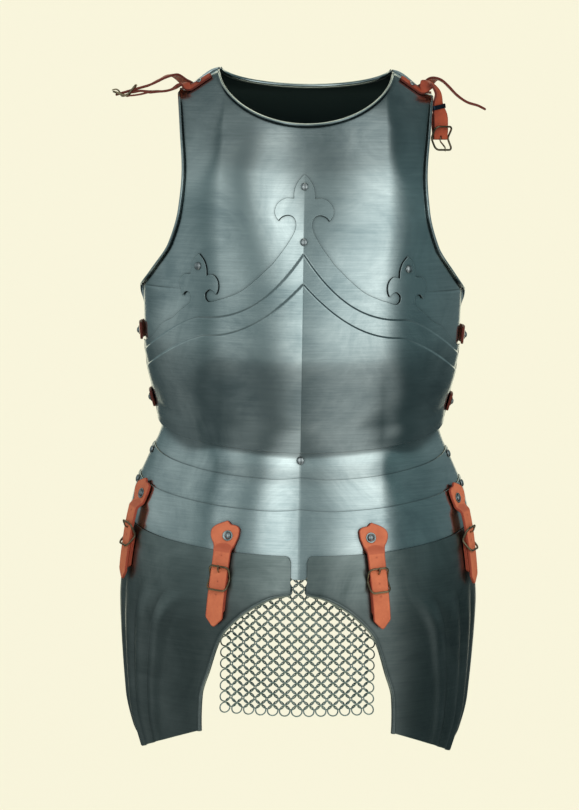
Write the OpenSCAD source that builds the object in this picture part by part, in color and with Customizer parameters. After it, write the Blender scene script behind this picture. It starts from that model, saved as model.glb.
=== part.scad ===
/* [Torso] */
// Width across the chest under the arms
chest_w = 363; // [355:1:372]
// Width at the waist
waist_w = 313; // [304:1:322]
// Width across the hem of the fauld
hip_w = 384; // [376:1:392]
// Depth of the breast in front of the side seam
breast_d = 143; // [135:1:150]
// Depth of the waist in front of the side seam
waist_d = 118; // [112:1:124]
// Depth of the fauld hem in front of the side seam
hip_d = 148; // [143:1:154]
// Depth of the back behind the side seam
back_d = 120; // [112:1:128]
// Depth of the waist behind the side seam
back_waist_d = 86; // [80:1:92]
// Depth of the culet hem behind the side seam
culet_d = 118; // [112:1:124]
// Drop from the shoulder to the armpit
armpit_drop = 237; // [230:1:244]
// Drop from the shoulder to the waist at the sides
waist_drop = 391; // [386:1:398]
// How much lower the waist lies in front
waist_dip = 27; // [22:1:30]
// Height of the ridge down the breast
keel_h = 8; // [4:1:10]
// Half width over which the ridge fades
keel_w = 85; // [60:1:100]

/* [Openings] */
// Width between the ends of the neck edge
neck_w = 198; // [190:1:206]
// Depth of the neck edge in front
neck_front_drop = 55; // [48:1:62]
// Depth of the neck edge behind
neck_back_drop = 10; // [4:1:16]
// Width across the shoulders
shoulder_w = 285; // [278:1:292]
// Width between the armholes at their narrowest
arm_gap_w = 267; // [262:1:272]
// Height of the shoulder seam at the neck
shoulder_rise = 10; // [6:1:14]
// Fall of the shoulder from neck to arm
shoulder_fall = 24; // [18:1:28]
// Space between breastplate and backplate on the shoulder
shoulder_space = 8; // [6:1:12]

/* [Plates] */
// Thickness of the steel
plate_t = 1.2; // [1:0.1:1.4]
// Space between plates that lie over each other
plate_gap = 0.6; // [0.5:0.05:0.8]
// Radius of the rolled edges
roll_r = 1.7; // [1.5:0.1:2]
// Height of each embossed step of the plackart
step_h = 1.5; // [1:0.1:2]
// Diameter of a rivet head
rivet_d = 9; // [7:0.5:10]
// Height of a rivet head
rivet_h = 2.4; // [1.5:0.1:3]
// Space under a rivet head
rivet_seat = 0.3; // [0.2:0.05:0.4]

/* [Fauld] */
// Visible height of one lame
lame_step = 34; // [32:1:36]
// Overlap of the lames
lame_lap = 12; // [10:1:14]
// Height of the lowest lame below its rivets
hem_drop = 55; // [50:1:58]
// Half width of the tab between the tassets
tab_w = 7; // [5:0.5:8]
// Length of the tab below the hem
tab_drop = 12; // [8:1:14]

/* [Tassets] */
// Height of a tasset at its tip
tasset_l = 240; // [230:1:246]
// Width between the two tassets at the middle
tasset_space = 18; // [16:1:22]
// Radius of the rolled arch
arch_roll_r = 2.4; // [2:0.1:2.6]
// Height of the flutes
flute_h = 3; // [1:0.5:4]

/* [Mail] */
// Mean radius of a ring
ring_r = 5.8; // [5.7:0.05:5.9]
// Diameter of the wire
wire_d = 1.3; // [1.1:0.05:1.4]
// Distance between rings in a row
ring_pitch = 13.4; // [13.3:0.05:13.6]
// Distance between rows
row_pitch = 6.25; // [6.2:0.05:6.3]
// Tilt of the rings out of the sheet
ring_tilt = 26; // [24:1:28]
// Rings in a full row
mail_cols = 13; // [11:1:14]
// Rows of rings
mail_rows = 28; // [20:1:29]

/* [Straps] */
// Thickness of the leather
strap_t = 3; // [2.5:0.1:3.5]
// Width of the straps
strap_w = 20; // [18:1:21]
// Width of the lobed strap heads
head_w = 32; // [30:1:34]
// Length of a strap from its rivet to its tip
strap_tip = 102; // [98:1:106]
// Thickness of the leather that holds a buckle
chape_t = 3.8; // [3.7:0.1:4]
// Thickness of the folded leather that holds a side buckle
side_chape_t = 4.5; // [4.4:0.1:4.8]
// Length of a buckle along its strap
buckle_l = 29; // [27:1:31]
// Thickness of a buckle's bars
buckle_d = 2.8; // [2.4:0.1:2.8]
// Diameter of the strap holes
hole_d = 4; // [3.5:0.1:5]
// Angle of the inner tasset straps round the body
inner_strap_a = 24.5; // [22:0.5:27]
// Angle of the outer tasset straps round the body
outer_strap_a = 70.5; // [68:0.5:72]
// Turn of a tasset strap round the body along its length
strap_slant = 2.5; // [1:0.5:3]
// Height of the inner strap rivets over the hem
inner_rivet_rise = 32; // [30:1:34]
// Height of the outer strap rivets over the hem
outer_rivet_rise = 50; // [36:1:52]
// Space around leather and buckles
strap_gap = 0.4; // [0.3:0.05:0.5]

/* [Hidden] */

chest_r = chest_w / 2;
waist_r = waist_w / 2;
hip_r = hip_w / 2;
layer = plate_t + plate_gap;
shoulder_s = shoulder_rise;
armpit_s = -armpit_drop;
waist_s = -waist_drop;
lame_rise = 10;
function lame_top(i) = waist_s + lame_rise - (i - 1) * lame_step;
hem_s = waist_s - 2 * lame_step - hem_drop + 2;

// Half width, front depth and back depth of the body at each height of the side
half_widths = [
    [hem_s - 1.08 * tasset_l, hip_r - 22], [hem_s - 0.79 * tasset_l, hip_r - 4], [hem_s - 0.21 * tasset_l, hip_r + 4],
    [hem_s, hip_r],
    [waist_s - 2 * lame_step, hip_r - 11], [waist_s - lame_step, hip_r - 25],
    [waist_s, waist_r], [waist_s * 0.6 + armpit_s * 0.4, waist_r + 0.6 * (chest_r - waist_r)],
    [armpit_s - 50, chest_r - 2], [armpit_s, chest_r], [armpit_s / 2, chest_r + 8], [shoulder_s, chest_r + 8]
];
front_depths = [
    [hem_s - 1.08 * tasset_l, hip_d - 4], [hem_s - 0.21 * tasset_l, hip_d + 5], [hem_s, hip_d],
    [waist_s - 2 * lame_step, hip_d - 11], [waist_s - lame_step, (hip_d + waist_d) / 2 - 4],
    [waist_s, waist_d], [waist_s * 0.7 + armpit_s * 0.3, waist_d + 0.62 * (breast_d - waist_d)],
    [armpit_s - 62, breast_d], [armpit_s, breast_d * 0.97], [armpit_s * 0.75, breast_d * 0.91],
    [armpit_s * 0.45, breast_d * 0.8], [armpit_s * 0.23, breast_d * 0.6],
    [armpit_s * 0.06, breast_d * 0.34], [shoulder_s * 0.55, breast_d * 0.14], [shoulder_s, shoulder_space / 2]
];
back_depths = [
    [hem_s, culet_d], [waist_s - 2 * lame_step, culet_d - 10],
    [waist_s - lame_step, (culet_d + back_waist_d) / 2 - 4],
    [waist_s, back_waist_d], [armpit_s - 60, back_d * 0.92], [armpit_s, back_d], [armpit_s * 0.6, back_d],
    [armpit_s * 0.27, back_d * 0.9], [armpit_s * 0.08, back_d * 0.7], [0, back_d * 0.45],
    [shoulder_s, shoulder_space / 2]
];
arm_widths = [
    [armpit_s, chest_r], [armpit_s + 22, chest_r - 16], [armpit_s + 50, chest_r - 34],
    [armpit_s + 90, arm_gap_w / 2 + 3], [armpit_s + 128, arm_gap_w / 2], [armpit_s * 0.25, arm_gap_w / 2 + 4],
    [shoulder_s - shoulder_fall, shoulder_w / 2]
];

// Smooth curve through a table of heights and values, without overshoot
function span(x, t, i = 0) = (i >= len(t) - 2 || x <= t[i + 1][0]) ? i : span(x, t, i + 1);
function secant(t, i) = (t[i + 1][1] - t[i][1]) / (t[i + 1][0] - t[i][0]);
function slope(t, i) =
    i == 0 ? secant(t, 0) :
    i == len(t) - 1 ? secant(t, i - 1) :
    let (a = secant(t, i - 1), b = secant(t, i)) a * b <= 0 ? 0 : 2 * a * b / (a + b);
function curve(x, t) =
    let (i = span(x, t), h = t[i + 1][0] - t[i][0], u = min(1, max(0, (x - t[i][0]) / h)))
    t[i][1] * (1 + 2 * u) * (1 - u) * (1 - u) + h * slope(t, i) * u * (1 - u) * (1 - u)
    + t[i + 1][1] * u * u * (3 - 2 * u) - h * slope(t, i + 1) * u * u * (1 - u);
function clamp(x) = min(1, max(0, x));
function ease(x) = let (u = clamp(x)) u * u * (3 - 2 * u);
function mix(a, b, t) = a * (1 - t) + b * t;
function unit(v) = norm(v) > 0 ? v / norm(v) : [0, 0, 1];

// Shoulders fall away from the neck
function fall(x) = shoulder_fall * ease((abs(x) - neck_w / 2 + 9) / (shoulder_w / 2 - neck_w / 2 + 9));
function dip(s) = waist_dip * ease((armpit_s - s) / (armpit_s - waist_s));
function keel(x, s) = keel_h * ease((-s - 60) / 200) * (1 - 0.6 * ease((waist_s + 60 - s) / 90))
    * pow(max(0, 1 - abs(x) / keel_w), 2);

// Point on the front or back of the body: angle from the middle, height at the side, distance out
function front(a, s, out = 0) =
    let (w = curve(s, half_widths) + out, x = w * sin(a), c = cos(a))
    let (d = curve(min(shoulder_s, s + fall(x)), front_depths) + out)
    [x, -d * c - keel(x, s), s - dip(s) * c];
function back(a, s, out = 0) =
    let (w = curve(s, half_widths) + out, x = w * sin(a), c = cos(a))
    let (d = curve(min(shoulder_s, s + fall(x)), back_depths) + out)
    [x, d * (c < 0 ? c : pow(c, 0.9)), s];
function front_normal(a, s) = unit(cross(front(a + 0.5, s) - front(a - 0.5, s), front(a, s + 0.5) - front(a, s - 0.5)));
function back_normal(a, s) = unit(cross(back(a, s + 0.5) - back(a, s - 0.5), back(a + 0.5, s) - back(a - 0.5, s)));

// Sheet of points: neighbours, normals, curled borders and a closed shell of even thickness
function tidy(i, n) = min(n - 1, max(0, i));
function across(p, i, j) = p[i][tidy(j + 1, len(p[0]))] - p[i][tidy(j - 1, len(p[0]))];
function down(p, i, j) = p[tidy(i + 1, len(p))][j] - p[tidy(i - 1, len(p))][j];
function normal_at(p, i, j) = unit(cross(down(p, i, j), across(p, i, j)));
function turned(p) = [for (j = [0:len(p[0]) - 1]) [for (i = [0:len(p) - 1]) p[i][j]]];
function flipped(p) = [for (i = [len(p) - 1:-1:0]) p[i]];
roll_sweep = 190;
// New rows before the first one: amount 1 curls them outward, amount 0 leaves a short flat strip
function curl(p, amounts, side, steps, radius) = concat(
    [for (k = [steps:-1:1])
        [for (j = [0:len(p[0]) - 1])
            let (m = amounts[j], n = side * normal_at(p, 0, j), e = unit(across(p, 0, j)))
            let (c = unit(cross(n, e)), t = c * (p[0][j] - p[1][j]) < 0 ? -c : c)
            let (len_k = radius * roll_sweep * PI / 180 * k / steps * max(m, 0.1), q = roll_sweep * k / steps * m)
            p[0][j] + (q < 1 ? t * len_k : radius * (t * sin(q) + n * (1 - cos(q))))]],
    p);
module shell(p, t) {
    rows = len(p);
    cols = len(p[0]);
    count = rows * cols;
    outer = [for (i = [0:rows - 1]) for (j = [0:cols - 1]) p[i][j] + normal_at(p, i, j) * t / 2];
    inner = [for (i = [0:rows - 1]) for (j = [0:cols - 1]) p[i][j] - normal_at(p, i, j) * t / 2];
    ring = concat(
        [for (j = [0:cols - 2]) j],
        [for (i = [0:rows - 2]) i * cols + cols - 1],
        [for (j = [cols - 1:-1:1]) (rows - 1) * cols + j],
        [for (i = [rows - 1:-1:1]) i * cols]);
    faces = concat(
        [for (i = [0:rows - 2]) for (j = [0:cols - 2]) let (a = i * cols + j) each
            [[a, a + 1, a + cols], [a + 1, a + cols + 1, a + cols]]],
        [for (i = [0:rows - 2]) for (j = [0:cols - 2]) let (a = count + i * cols + j) each
            [[a, a + cols, a + 1], [a + 1, a + cols, a + cols + 1]]],
        [for (k = [0:len(ring) - 1]) let (a = ring[k], b = ring[(k + 1) % len(ring)]) each
            [[a, a + count, b], [b, a + count, b + count]]]);
    polyhedron(points = concat(outer, inner), faces = faces);
}
// Stands children at a point with their Z along a normal and their Y along a direction
module stand(p, n, up) {
    x = unit(cross(up, n));
    y = unit(cross(n, x));
    multmatrix([[x[0], y[0], n[0], p[0]], [x[1], y[1], n[1], p[1]], [x[2], y[2], n[2], p[2]], [0, 0, 0, 1]])
        children();
}
module on_front(a, s, out) {
    stand(front(a, s) + front_normal(a, s) * out, front_normal(a, s), [0, 0, 1]) children();
}
module on_back(a, s, out) {
    stand(back(a, s) + back_normal(a, s) * out, back_normal(a, s), [0, 0, 1]) children();
}
module rivet() {
    intersection() {
        translate([0, 0, rivet_h - (rivet_d * rivet_d / 4 + rivet_h * rivet_h) / (2 * rivet_h)])
            sphere(r = (rivet_d * rivet_d / 4 + rivet_h * rivet_h) / (2 * rivet_h), $fn = 48);
        cylinder(d = rivet_d, h = rivet_h * 2, $fn = 48);
    }
}

steel = [0.52, 0.57, 0.6];
dark_steel = [0.42, 0.47, 0.5];

// Breastplate
neck_cols = 8;
shoulder_cols = 4;
half_cols = neck_cols + shoulder_cols;
neck_u = neck_w / shoulder_w;
function top_u(k) = sign(k) * (abs(k) <= neck_cols ? neck_u * sin(90 * abs(k) / neck_cols)
    : mix(neck_u, 1, (abs(k) - neck_cols) / shoulder_cols));
function top_s(k, drop) = abs(k) <= neck_cols
    ? shoulder_rise - (drop + shoulder_rise) * cos(90 * abs(k) / neck_cols)
    : shoulder_rise - shoulder_fall * ease((abs(k) - neck_cols) / shoulder_cols);
upper_rows = 9;
// Heights of the rows under the armpits, which the first lame shares
flange_s = lame_top(1) - lame_step;
lower_s = concat([for (t = [0.2, 0.4, 0.6, 0.8, 0.92]) mix(armpit_s, lame_top(1), t)],
    [lame_top(1), lame_top(1) - lame_lap, (lame_top(1) - lame_lap + flange_s) / 2, flange_s]);
lower_rows = len(lower_s);
function plate_s(k, r, drop) = r <= upper_rows
    ? mix(top_s(k, drop), armpit_s, 0.55 * ease(r / upper_rows) + 0.45 * r / upper_rows)
    : lower_s[r - upper_rows - 1];
function plate_a(k, r, s, reach) =
    let (t = clamp(r / upper_rows), w = curve(s, half_widths), h = s > armpit_s ? curve(s, arm_widths) : w)
    let (lim = asin(min(1, h / w)) + reach * clamp(r - upper_rows))
    mix(asin(min(1, abs(top_u(k)) * h / w)), lim * abs(k) / half_cols, ease(t)) * sign(k);
function breast_sheet() = [for (r = [0:upper_rows + lower_rows])
    [for (k = [-half_cols:half_cols])
        let (s = plate_s(k, r, neck_front_drop)) front(plate_a(k, r, s, 0), s)]];
function neck_amounts() = [for (k = [-half_cols:half_cols]) 1 - ease((abs(k) - neck_cols + 0.5) / 1.2)];
roll_steps = 3;
function arm_amounts(rows, last) = [for (r = [-roll_steps:rows - 1]) r < 1 ? 0 : r <= last ? 1 : 0];
function rolled_plate(p, last) =
    let (a = curl(p, neck_amounts(), 1, roll_steps, roll_r))
    let (arms = arm_amounts(len(p), last))
    let (b = turned(curl(turned(a), arms, -1, roll_steps, roll_r)))
    turned(flipped(curl(flipped(turned(b)), arms, 1, roll_steps, roll_r)));
module breastplate() {
    color(steel) shell(rolled_plate(breast_sheet(), upper_rows), plate_t);
}

// Backplate
back_reach = 3;
back_space = 2.1;
function back_sheet() = [for (r = [0:upper_rows + lower_rows])
    [for (k = [half_cols:-1:-half_cols])
        let (s = plate_s(k, r, neck_back_drop)) back(plate_a(k, r, s, back_reach), s, -back_space)]];
module backplate() {
    color(steel) shell(rolled_plate(back_sheet(), upper_rows - 1), plate_t);
}

// Plackart: three ogee lines, each two swags that meet in a cusp
cusp_x = [112, 112, 104];
outer_bend = 1.4;
function swag(x, apex, cusp, cusp_s, side_s, bend) = abs(x) < cusp
    ? cusp_s + (apex - cusp_s) * pow(1 - abs(x) / cusp, bend)
    : cusp_s + (side_s - cusp_s) * pow(clamp((abs(x) - cusp) / (chest_r - cusp)), outer_bend);
edge_apex = armpit_s + 84;
edge_cusp = armpit_s - 12;
function edge_line(x) = swag(x, edge_apex, cusp_x[0], edge_cusp, armpit_s - 60, 2.2);
function step_line_1(x) = swag(x, edge_apex - 41, cusp_x[1], edge_cusp - 17, armpit_s - 75, 2.4);
function step_line_2(x) = swag(x, edge_apex - 73, cusp_x[2], edge_cusp - 36.5, armpit_s - 93, 2);
plackart_out = layer + 0.5;
plackart_cols = 15;
plackart_reach = 89;
function flare(s) = layer * ease((waist_s + 30 - s) / 18);
function plackart_point(a, z, out) =
    let (c = cos(a), s = z + waist_dip * c * ease((armpit_s - z) / (armpit_s - waist_s + waist_dip * c)))
    let (q = front(a, s, out + flare(s))) [q[0], q[1], z];
function plackart_rows(a) =
    let (x = curve(armpit_s - 30, half_widths) * sin(a), e = step_h * 0.8)
    let (l1 = step_line_1(x), l2 = step_line_2(x), foot = waist_s - waist_dip * cos(a) + 4)
    concat(
        [for (t = [0, 0.25, 0.5, 0.75]) plackart_point(a, mix(armpit_s + 135 - 60 * pow(abs(sin(a)), 2), l1 + e, t),
            plackart_out)],
        [plackart_point(a, l1 + e, plackart_out)],
        [plackart_point(a, l1 - e, plackart_out + step_h)],
        [plackart_point(a, mix(l1 - e, l2 + e, 0.5), plackart_out + step_h)],
        [plackart_point(a, l2 + e, plackart_out + step_h)],
        [plackart_point(a, l2 - e, plackart_out + 2 * step_h)],
        [for (t = [0.2, 0.4, 0.6, 0.8, 0.92, 1]) plackart_point(a, mix(l2 - e, foot, t), plackart_out + 2 * step_h)]);
function plackart_sheet() = turned([for (k = [-plackart_cols:plackart_cols])
    plackart_rows(plackart_reach * k / plackart_cols)]);
// Smooth line through points with a corner at each one named as sharp
function line_slope(p, i) = i == 0 ? p[1] - p[0] : i == len(p) - 1 ? p[i] - p[i - 1] : (p[i + 1] - p[i - 1]) / 2;
function smooth_line(p, sharp, steps) = concat(
    [for (i = [0:len(p) - 2])
        let (d = p[i + 1] - p[i], long = norm(d))
        let (ta = len(search(i, sharp)) > 0 ? d : unit(line_slope(p, i)) * long)
        let (tb = len(search(i + 1, sharp)) > 0 ? d : unit(line_slope(p, i + 1)) * long)
        for (t = [0:1 / steps:0.999])
            p[i] * (2 * pow(t, 3) - 3 * t * t + 1) + ta * (pow(t, 3) - 2 * t * t + t)
                + p[i + 1] * (3 * t * t - 2 * pow(t, 3)) + tb * (pow(t, 3) - t * t)],
    [p[len(p) - 1]]);
// Half of a fleur-de-lis from its rivet: pointed leaf, notch, a lobe that curls down to a point, and the stem
leaf = [[0, 16.6], [9.3, 4.9], [11.7, -9.8]];
lobe = [[11.7, -9.8], [20, -9.8], [28.5, -15], [32.6, -25.2], [28, -34.7]];
hook = [[28, -34.7], [22, -29.2], [14.5, -29], [9.3, -37]];
function scaled_line(p, w, h) = [for (q = p) [q[0] * w, q[1] * h]];
function half_fleur(w, h, foot) = concat(
    smooth_line(scaled_line(leaf, w, h), [0, 2], 3),
    smooth_line(scaled_line(lobe, w, h), [0, 4], 3),
    smooth_line(concat(scaled_line(hook, w, h), foot), [0, 3 + len(foot)], 3));
module fleur(w, h, foot, closed) {
    half = half_fleur(w, h, foot);
    polygon(concat(half, [[half[len(half) - 1][0], closed], [-half[len(half) - 1][0], closed]],
        [for (k = [len(half) - 1:-1:1]) [-half[k][0], half[k][1]]]));
}
fleur_z = armpit_s + 114;
side_fleur_x = 115;
side_fleur_z = armpit_s + 25;
middle_foot = [[12.5, -51], [20, -63], [33.6, -81.2]];
side_foot = [[8.4, -37], [13, -42]];
module plackart_outline() {
    polygon(concat(
        [for (k = [-20:20]) let (x = (chest_r + 6) * k / 20) [x, edge_line(x)]],
        [[chest_r + 6, waist_s - waist_dip - 40], [-chest_r - 6, waist_s - waist_dip - 40]]));
    translate([0, fleur_z]) fleur(1, 1, middle_foot, -100);
    for (side = [-1, 1])
        translate([side * side_fleur_x, side_fleur_z]) fleur(0.67, 0.88, side_foot, -60);
}
module plackart() {
    color(dark_steel) intersection() {
        shell(plackart_sheet(), plate_t);
        translate([0, chest_r / 2, 0]) rotate([90, 0, 0]) linear_extrude(breast_d + chest_r) plackart_outline();
    }
}
module plackart_rivets() {
    for (p = [[0, fleur_z], [0, fleur_z - 60], [-side_fleur_x, side_fleur_z], [side_fleur_x, side_fleur_z]])
        color(steel) on_front(asin(p[0] / curve(p[1], half_widths)), p[1] + 2, plackart_out + plate_t / 2 + rivet_seat) rivet();
}

// Lames of the fauld and the culet, each outside the one above
lame_cols = 12;
lame_reach = 89;
function lame_foot(i) = i < 3 ? lame_top(i) - lame_step - lame_lap : hem_s;
function lame_rows(i) = [lame_top(i), lame_top(i) - lame_lap, (lame_top(i) - lame_lap + lame_foot(i) + lame_lap) / 2,
    lame_foot(i) + lame_lap, lame_foot(i)];
function lame_edge(a) = 3 * pow(max(0, 1 - abs(a) / 12), 1.5) - 2;
function tab(a) = tab_drop * (1 - ease((abs(hip_r * sin(a)) - tab_w) / 6));
function fauld_sheet(i) = [for (r = [0:4])
    [for (k = [-lame_cols:lame_cols])
        let (a = lame_reach * k / lame_cols)
        let (change = r == 0 && i > 1 ? lame_edge(a) : r == 4 && i == 3 ? -tab(a) : 0)
        front(a, lame_rows(i)[r] + change, i * layer)]];
module fauld_lame(i) {
    color(steel) shell(fauld_sheet(i), plate_t);
}
function culet_sheet(i) = [for (s = lame_rows(i))
    [for (k = [lame_cols:-1:-lame_cols]) back(lame_reach * k / lame_cols, s, (i - 1) * layer)]];
module culet_lame(i) {
    color(steel) shell(culet_sheet(i), plate_t);
}
side_rivet_a = 84;
module side_rivets(i) {
    for (side = [-1, 1])
        color(dark_steel) on_front(side * side_rivet_a, lame_top(i) - 9, i * layer + plate_t / 2 + rivet_seat)
            rivet();
}
module fauld_rivets_1() {
    side_rivets(1);
    color(steel) on_front(0, waist_s - 5, layer + plate_t / 2 + 2.5 * rivet_seat) rivet();
}
module culet_rivets(i) {
    for (side = [-1, 1])
        color(dark_steel) on_back(side * side_rivet_a, lame_top(i) - 9, (i - 1) * layer + plate_t / 2 + rivet_seat)
            rivet();
}

// Tassets
tasset_top_s = hem_s + 14;
function tasset_x(z) = curve(z - tasset_z, [
    [-260, 106], [-197, 105.5], [-161, 103], [-131, 94], [-92, 81], [-74, 67.5], [-56, 47], [-44, 24],
    [-40, tasset_space / 2], [0, tasset_space / 2]]);
tasset_z = tasset_top_s - waist_dip;
tasset_cols = 14;
tasset_rows = 15;
tasset_reach = 88;
function tasset_foot(u) = -tasset_l + 38 * pow(clamp(1 - u / 0.72), 1.1) + 30 * ease((u - 0.75) / 0.25);
function flute(u, v) = flute_h * ease((v - 0.2) / 0.2) * ease((u - 0.3) / 0.12) * abs(sin(180 * 4 * (u - 0.3) / 0.7));
function tasset_point(u, v) =
    let (z0 = tasset_z + mix(0, tasset_foot(u), v) + waist_dip * (1 - cos(tasset_reach * u)) * (1 - v))
    let (a0 = asin(tasset_x(z0) / hip_r), a = mix(a0, tasset_reach, u))
    let (s = z0 + waist_dip * cos(a))
    front(a, s, 4 * layer + flute(u, v));
function tasset_sheet() = [for (r = [0:tasset_rows])
    [for (k = [0:tasset_cols]) tasset_point(k / tasset_cols, r / tasset_rows)]];
module tasset() {
    amounts = [for (r = [0:tasset_rows]) ease((r - 2) / 1.5)];
    color(steel) shell(turned(curl(turned(tasset_sheet()), amounts, -1, 4, arch_roll_r)), plate_t);
}

// Mail: rows of round rings, each linked through four others, hung along the inside of the lowest lame
ring_reach = ring_r * sin(ring_tilt) + wire_d / 2;
mail_out = 3 * layer - plate_t / 2 - 2.4 - ring_reach;
mail_top_s = hem_s + 8;
first_rings = 4;
function mail_a(i) = asin(i * ring_pitch / (hip_r + mail_out));
function row_rings(j) = first_rings + j < mail_cols ? first_rings + j : mail_cols - (mail_cols + first_rings + j) % 2;
function mail_point(a, s) = let (p = front(a, s, mail_out)) [p[0], p[1] + keel(p[0], s), s - waist_dip];
module ring(tilt) {
    rotate([90 + tilt, 0, 0])
        rotate_extrude($fn = 32)
            translate([ring_r, 0])
                circle(d = wire_d, $fn = 16);
}
module mail_ring(i, j) {
    a = mail_a(i);
    q = mail_point(a + 1, mail_top_s) - mail_point(a - 1, mail_top_s);
    translate(mail_point(a, mail_top_s) - [0, 0, j * row_pitch])
        rotate([0, 0, atan2(q[1], q[0])])
            ring(j % 2 == 0 ? ring_tilt : -ring_tilt);
}
module mail_skirt() {
    color("silver")
        for (j = [0:mail_rows - 1])
            for (i = [0:row_rings(j) - 1])
                mail_ring(i - (row_rings(j) - 1) / 2, j);
}
// Leather band inside the lame, from which the mail hangs
band_t = 2;
band_w = 14;
band_reach = 11;
module mail_band() {
    z = mail_top_s - waist_dip + ring_r * cos(ring_tilt) + wire_d / 2 + strap_gap + band_w / 2;
    color(leather) ribbon([for (k = [-4:4])
        let (a = band_reach * k / 4, s = z + waist_dip * cos(a), n = front_normal(a, s))
        let (p = front(a, s, 3 * layer - plate_t / 2 - 0.6 - band_t / 2)) [p, n]],
        [for (k = [-4:4]) band_w], band_t);
}

// Flat leather along a path of points and normals, with a width at each
leather = [0.76, 0.36, 0.18];
brass = [0.42, 0.33, 0.2];
function tangent(path, k) = unit(path[min(k + 1, len(path) - 1)][0] - path[max(k - 1, 0)][0]);
module ribbon(path, widths, t) {
    n = len(path);
    points = [for (k = [0:n - 1])
        let (p = path[k][0], c = unit(cross(tangent(path, k), path[k][1])), o = unit(cross(c, tangent(path, k))))
        let (w = widths[k] / 2) each
        [p - c * w - o * t / 2, p + c * w - o * t / 2, p + c * w + o * t / 2, p - c * w + o * t / 2]];
    sides = [for (k = [0:n - 2]) for (j = [0:3])
        let (a = 4 * k + j, b = 4 * k + (j + 1) % 4) each [[a, b, a + 4], [b, b + 4, a + 4]]];
    polyhedron(points = points, faces = concat([[0, 2, 1], [0, 3, 2]], sides,
        [[4 * n - 1, 4 * n - 3, 4 * n - 2], [4 * n - 1, 4 * n - 4, 4 * n - 3]]));
}
module washer_rivet() {
    cylinder(d = rivet_d + 3, h = 0.8, $fn = 48);
    translate([0, 0, 0.8]) rivet();
}

// Buckle round a strap whose middle is at Z 0: a middle bar behind it and a far bar before it at each end
bar_reach = buckle_d * 0.69;
bar_lift = strap_t / 2 + strap_gap + bar_reach + 0.3;
buckle_w = strap_w + 2 * strap_gap + 0.6 + 2 * buckle_d;
bar_y = buckle_l / 2 - buckle_d / 2;
frame_tilt = atan(2 * bar_lift / bar_y);
half_l = norm([bar_y, 2 * bar_lift]) + buckle_d / 2;
prong_d = 2;
prong_y = 6.8;
prong_top = bar_lift + bar_reach + prong_d / 2 + strap_gap;
module rounded(w, l, r) {
    square([w - 2 * r, l], center = true);
    square([w, l - 2 * r], center = true);
    for (x = [-1, 1])
        for (y = [-1, 1])
            translate([x * (w / 2 - r), y * (l / 2 - r)]) circle(r = r, $fn = 32);
}
module half_frame() {
    rotate([frame_tilt, 0, 0])
        translate([0, 0, -buckle_d / 2])
            linear_extrude(buckle_d)
                difference() {
                    rounded(buckle_w, 2 * half_l, 5);
                    rounded(buckle_w - 2 * buckle_d, 2 * (half_l - buckle_d), 2.5);
                    translate([-buckle_w, -3 * half_l - buckle_d / 2 * tan(frame_tilt)])
                        square([2 * buckle_w, 3 * half_l]);
                }
}
module buckle_frame() {
    color(brass) translate([0, 0, -bar_lift]) {
        half_frame();
        mirror([0, 1, 0]) half_frame();
        rotate([0, 90, 0]) cylinder(d = buckle_d - 0.2, h = buckle_w - buckle_d, center = true, $fn = 64);
    }
}
module rod(a, b, d) {
    v = b - a;
    translate(a) rotate([0, 0, atan2(v[1], v[0])]) rotate([0, acos(v[2] / norm(v)), 0])
        cylinder(d = d, h = norm(v), $fn = 64);
}
// Prong from the middle bar, up through a hole of the strap and over the far bar
module prong() {
    low = [0, bar_reach + strap_gap, -bar_lift];
    foot = [0, prong_y - 0.4, -bar_lift];
    knee = [0, prong_y + 0.6, prong_top - 0.5];
    tip = [0, bar_y + 1, prong_top];
    color(brass) {
        rod(low, foot, prong_d);
        rod(foot, knee, prong_d);
        rod(knee, tip, prong_d);
        for (p = [foot, knee, tip]) translate(p) sphere(d = prong_d + 0.1, $fn = 64);
    }
}
module holes(drops) {
    for (d = drops)
        translate([0, -d, -strap_t]) cylinder(d = hole_d, h = 2 * strap_t, $fn = 32);
}

// Straps that carry the tassets: a lobed head on the lowest lame, a buckle on the tasset
lame_out = 3 * layer + plate_t / 2;
tasset_out = 4 * layer + plate_t / 2;
chape_out = tasset_out + strap_gap + chape_t / 2;
strap_out = chape_out + chape_t / 2 + strap_gap + strap_t / 2;
buckle_drop = 46;
hole_pitch = 14.5;
// Distance below the rivet and width there
head_shape = [
    [-17, 3], [-14, 12], [-9, head_w * 0.66], [-2, head_w], [5, head_w], [12, head_w * 0.72], [18, strap_w],
    [25, strap_w], [34, strap_w], [44, strap_w], [55, strap_w], [66, strap_w], [80, strap_w],
    [strap_tip - 9, strap_w], [strap_tip, 4]
];
function strap_a(a, drop) = a + strap_slant * drop / strap_tip;
function strap_offset(drop) = mix(lame_out + strap_gap + strap_t / 2, strap_out, ease((drop - 8) / 9));
function strap_point(a, s, drop, out) =
    let (b = strap_a(a, drop)) front(b, s - drop) + front_normal(b, s - drop) * out;
function strap_normal(a, s, drop) = front_normal(strap_a(a, drop), s - drop);
module on_strap(a, s, drop, out) {
    stand(strap_point(a, s, drop, out), strap_normal(a, s, drop),
        strap_point(a, s, drop - 5, out) - strap_point(a, s, drop + 5, out))
        children();
}
module tasset_strap(a, s) {
    color(leather) difference() {
        ribbon([for (r = head_shape) [strap_point(a, s, r[0], strap_offset(r[0])), strap_normal(a, s, r[0])]],
            [for (r = head_shape) r[1]], strap_t);
        for (k = [-1:2])
            on_strap(a, s, buckle_drop - prong_y + k * hole_pitch, strap_out) holes([0]);
    }
}
module tasset_chape(a, s) {
    drops = [for (k = [0:4]) buckle_drop + buckle_d / 2 + strap_gap + 9 * k];
    color(leather) ribbon([for (d = drops) [strap_point(a, s, d, chape_out), strap_normal(a, s, d)]],
        [for (d = drops) strap_w], chape_t);
}
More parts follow.
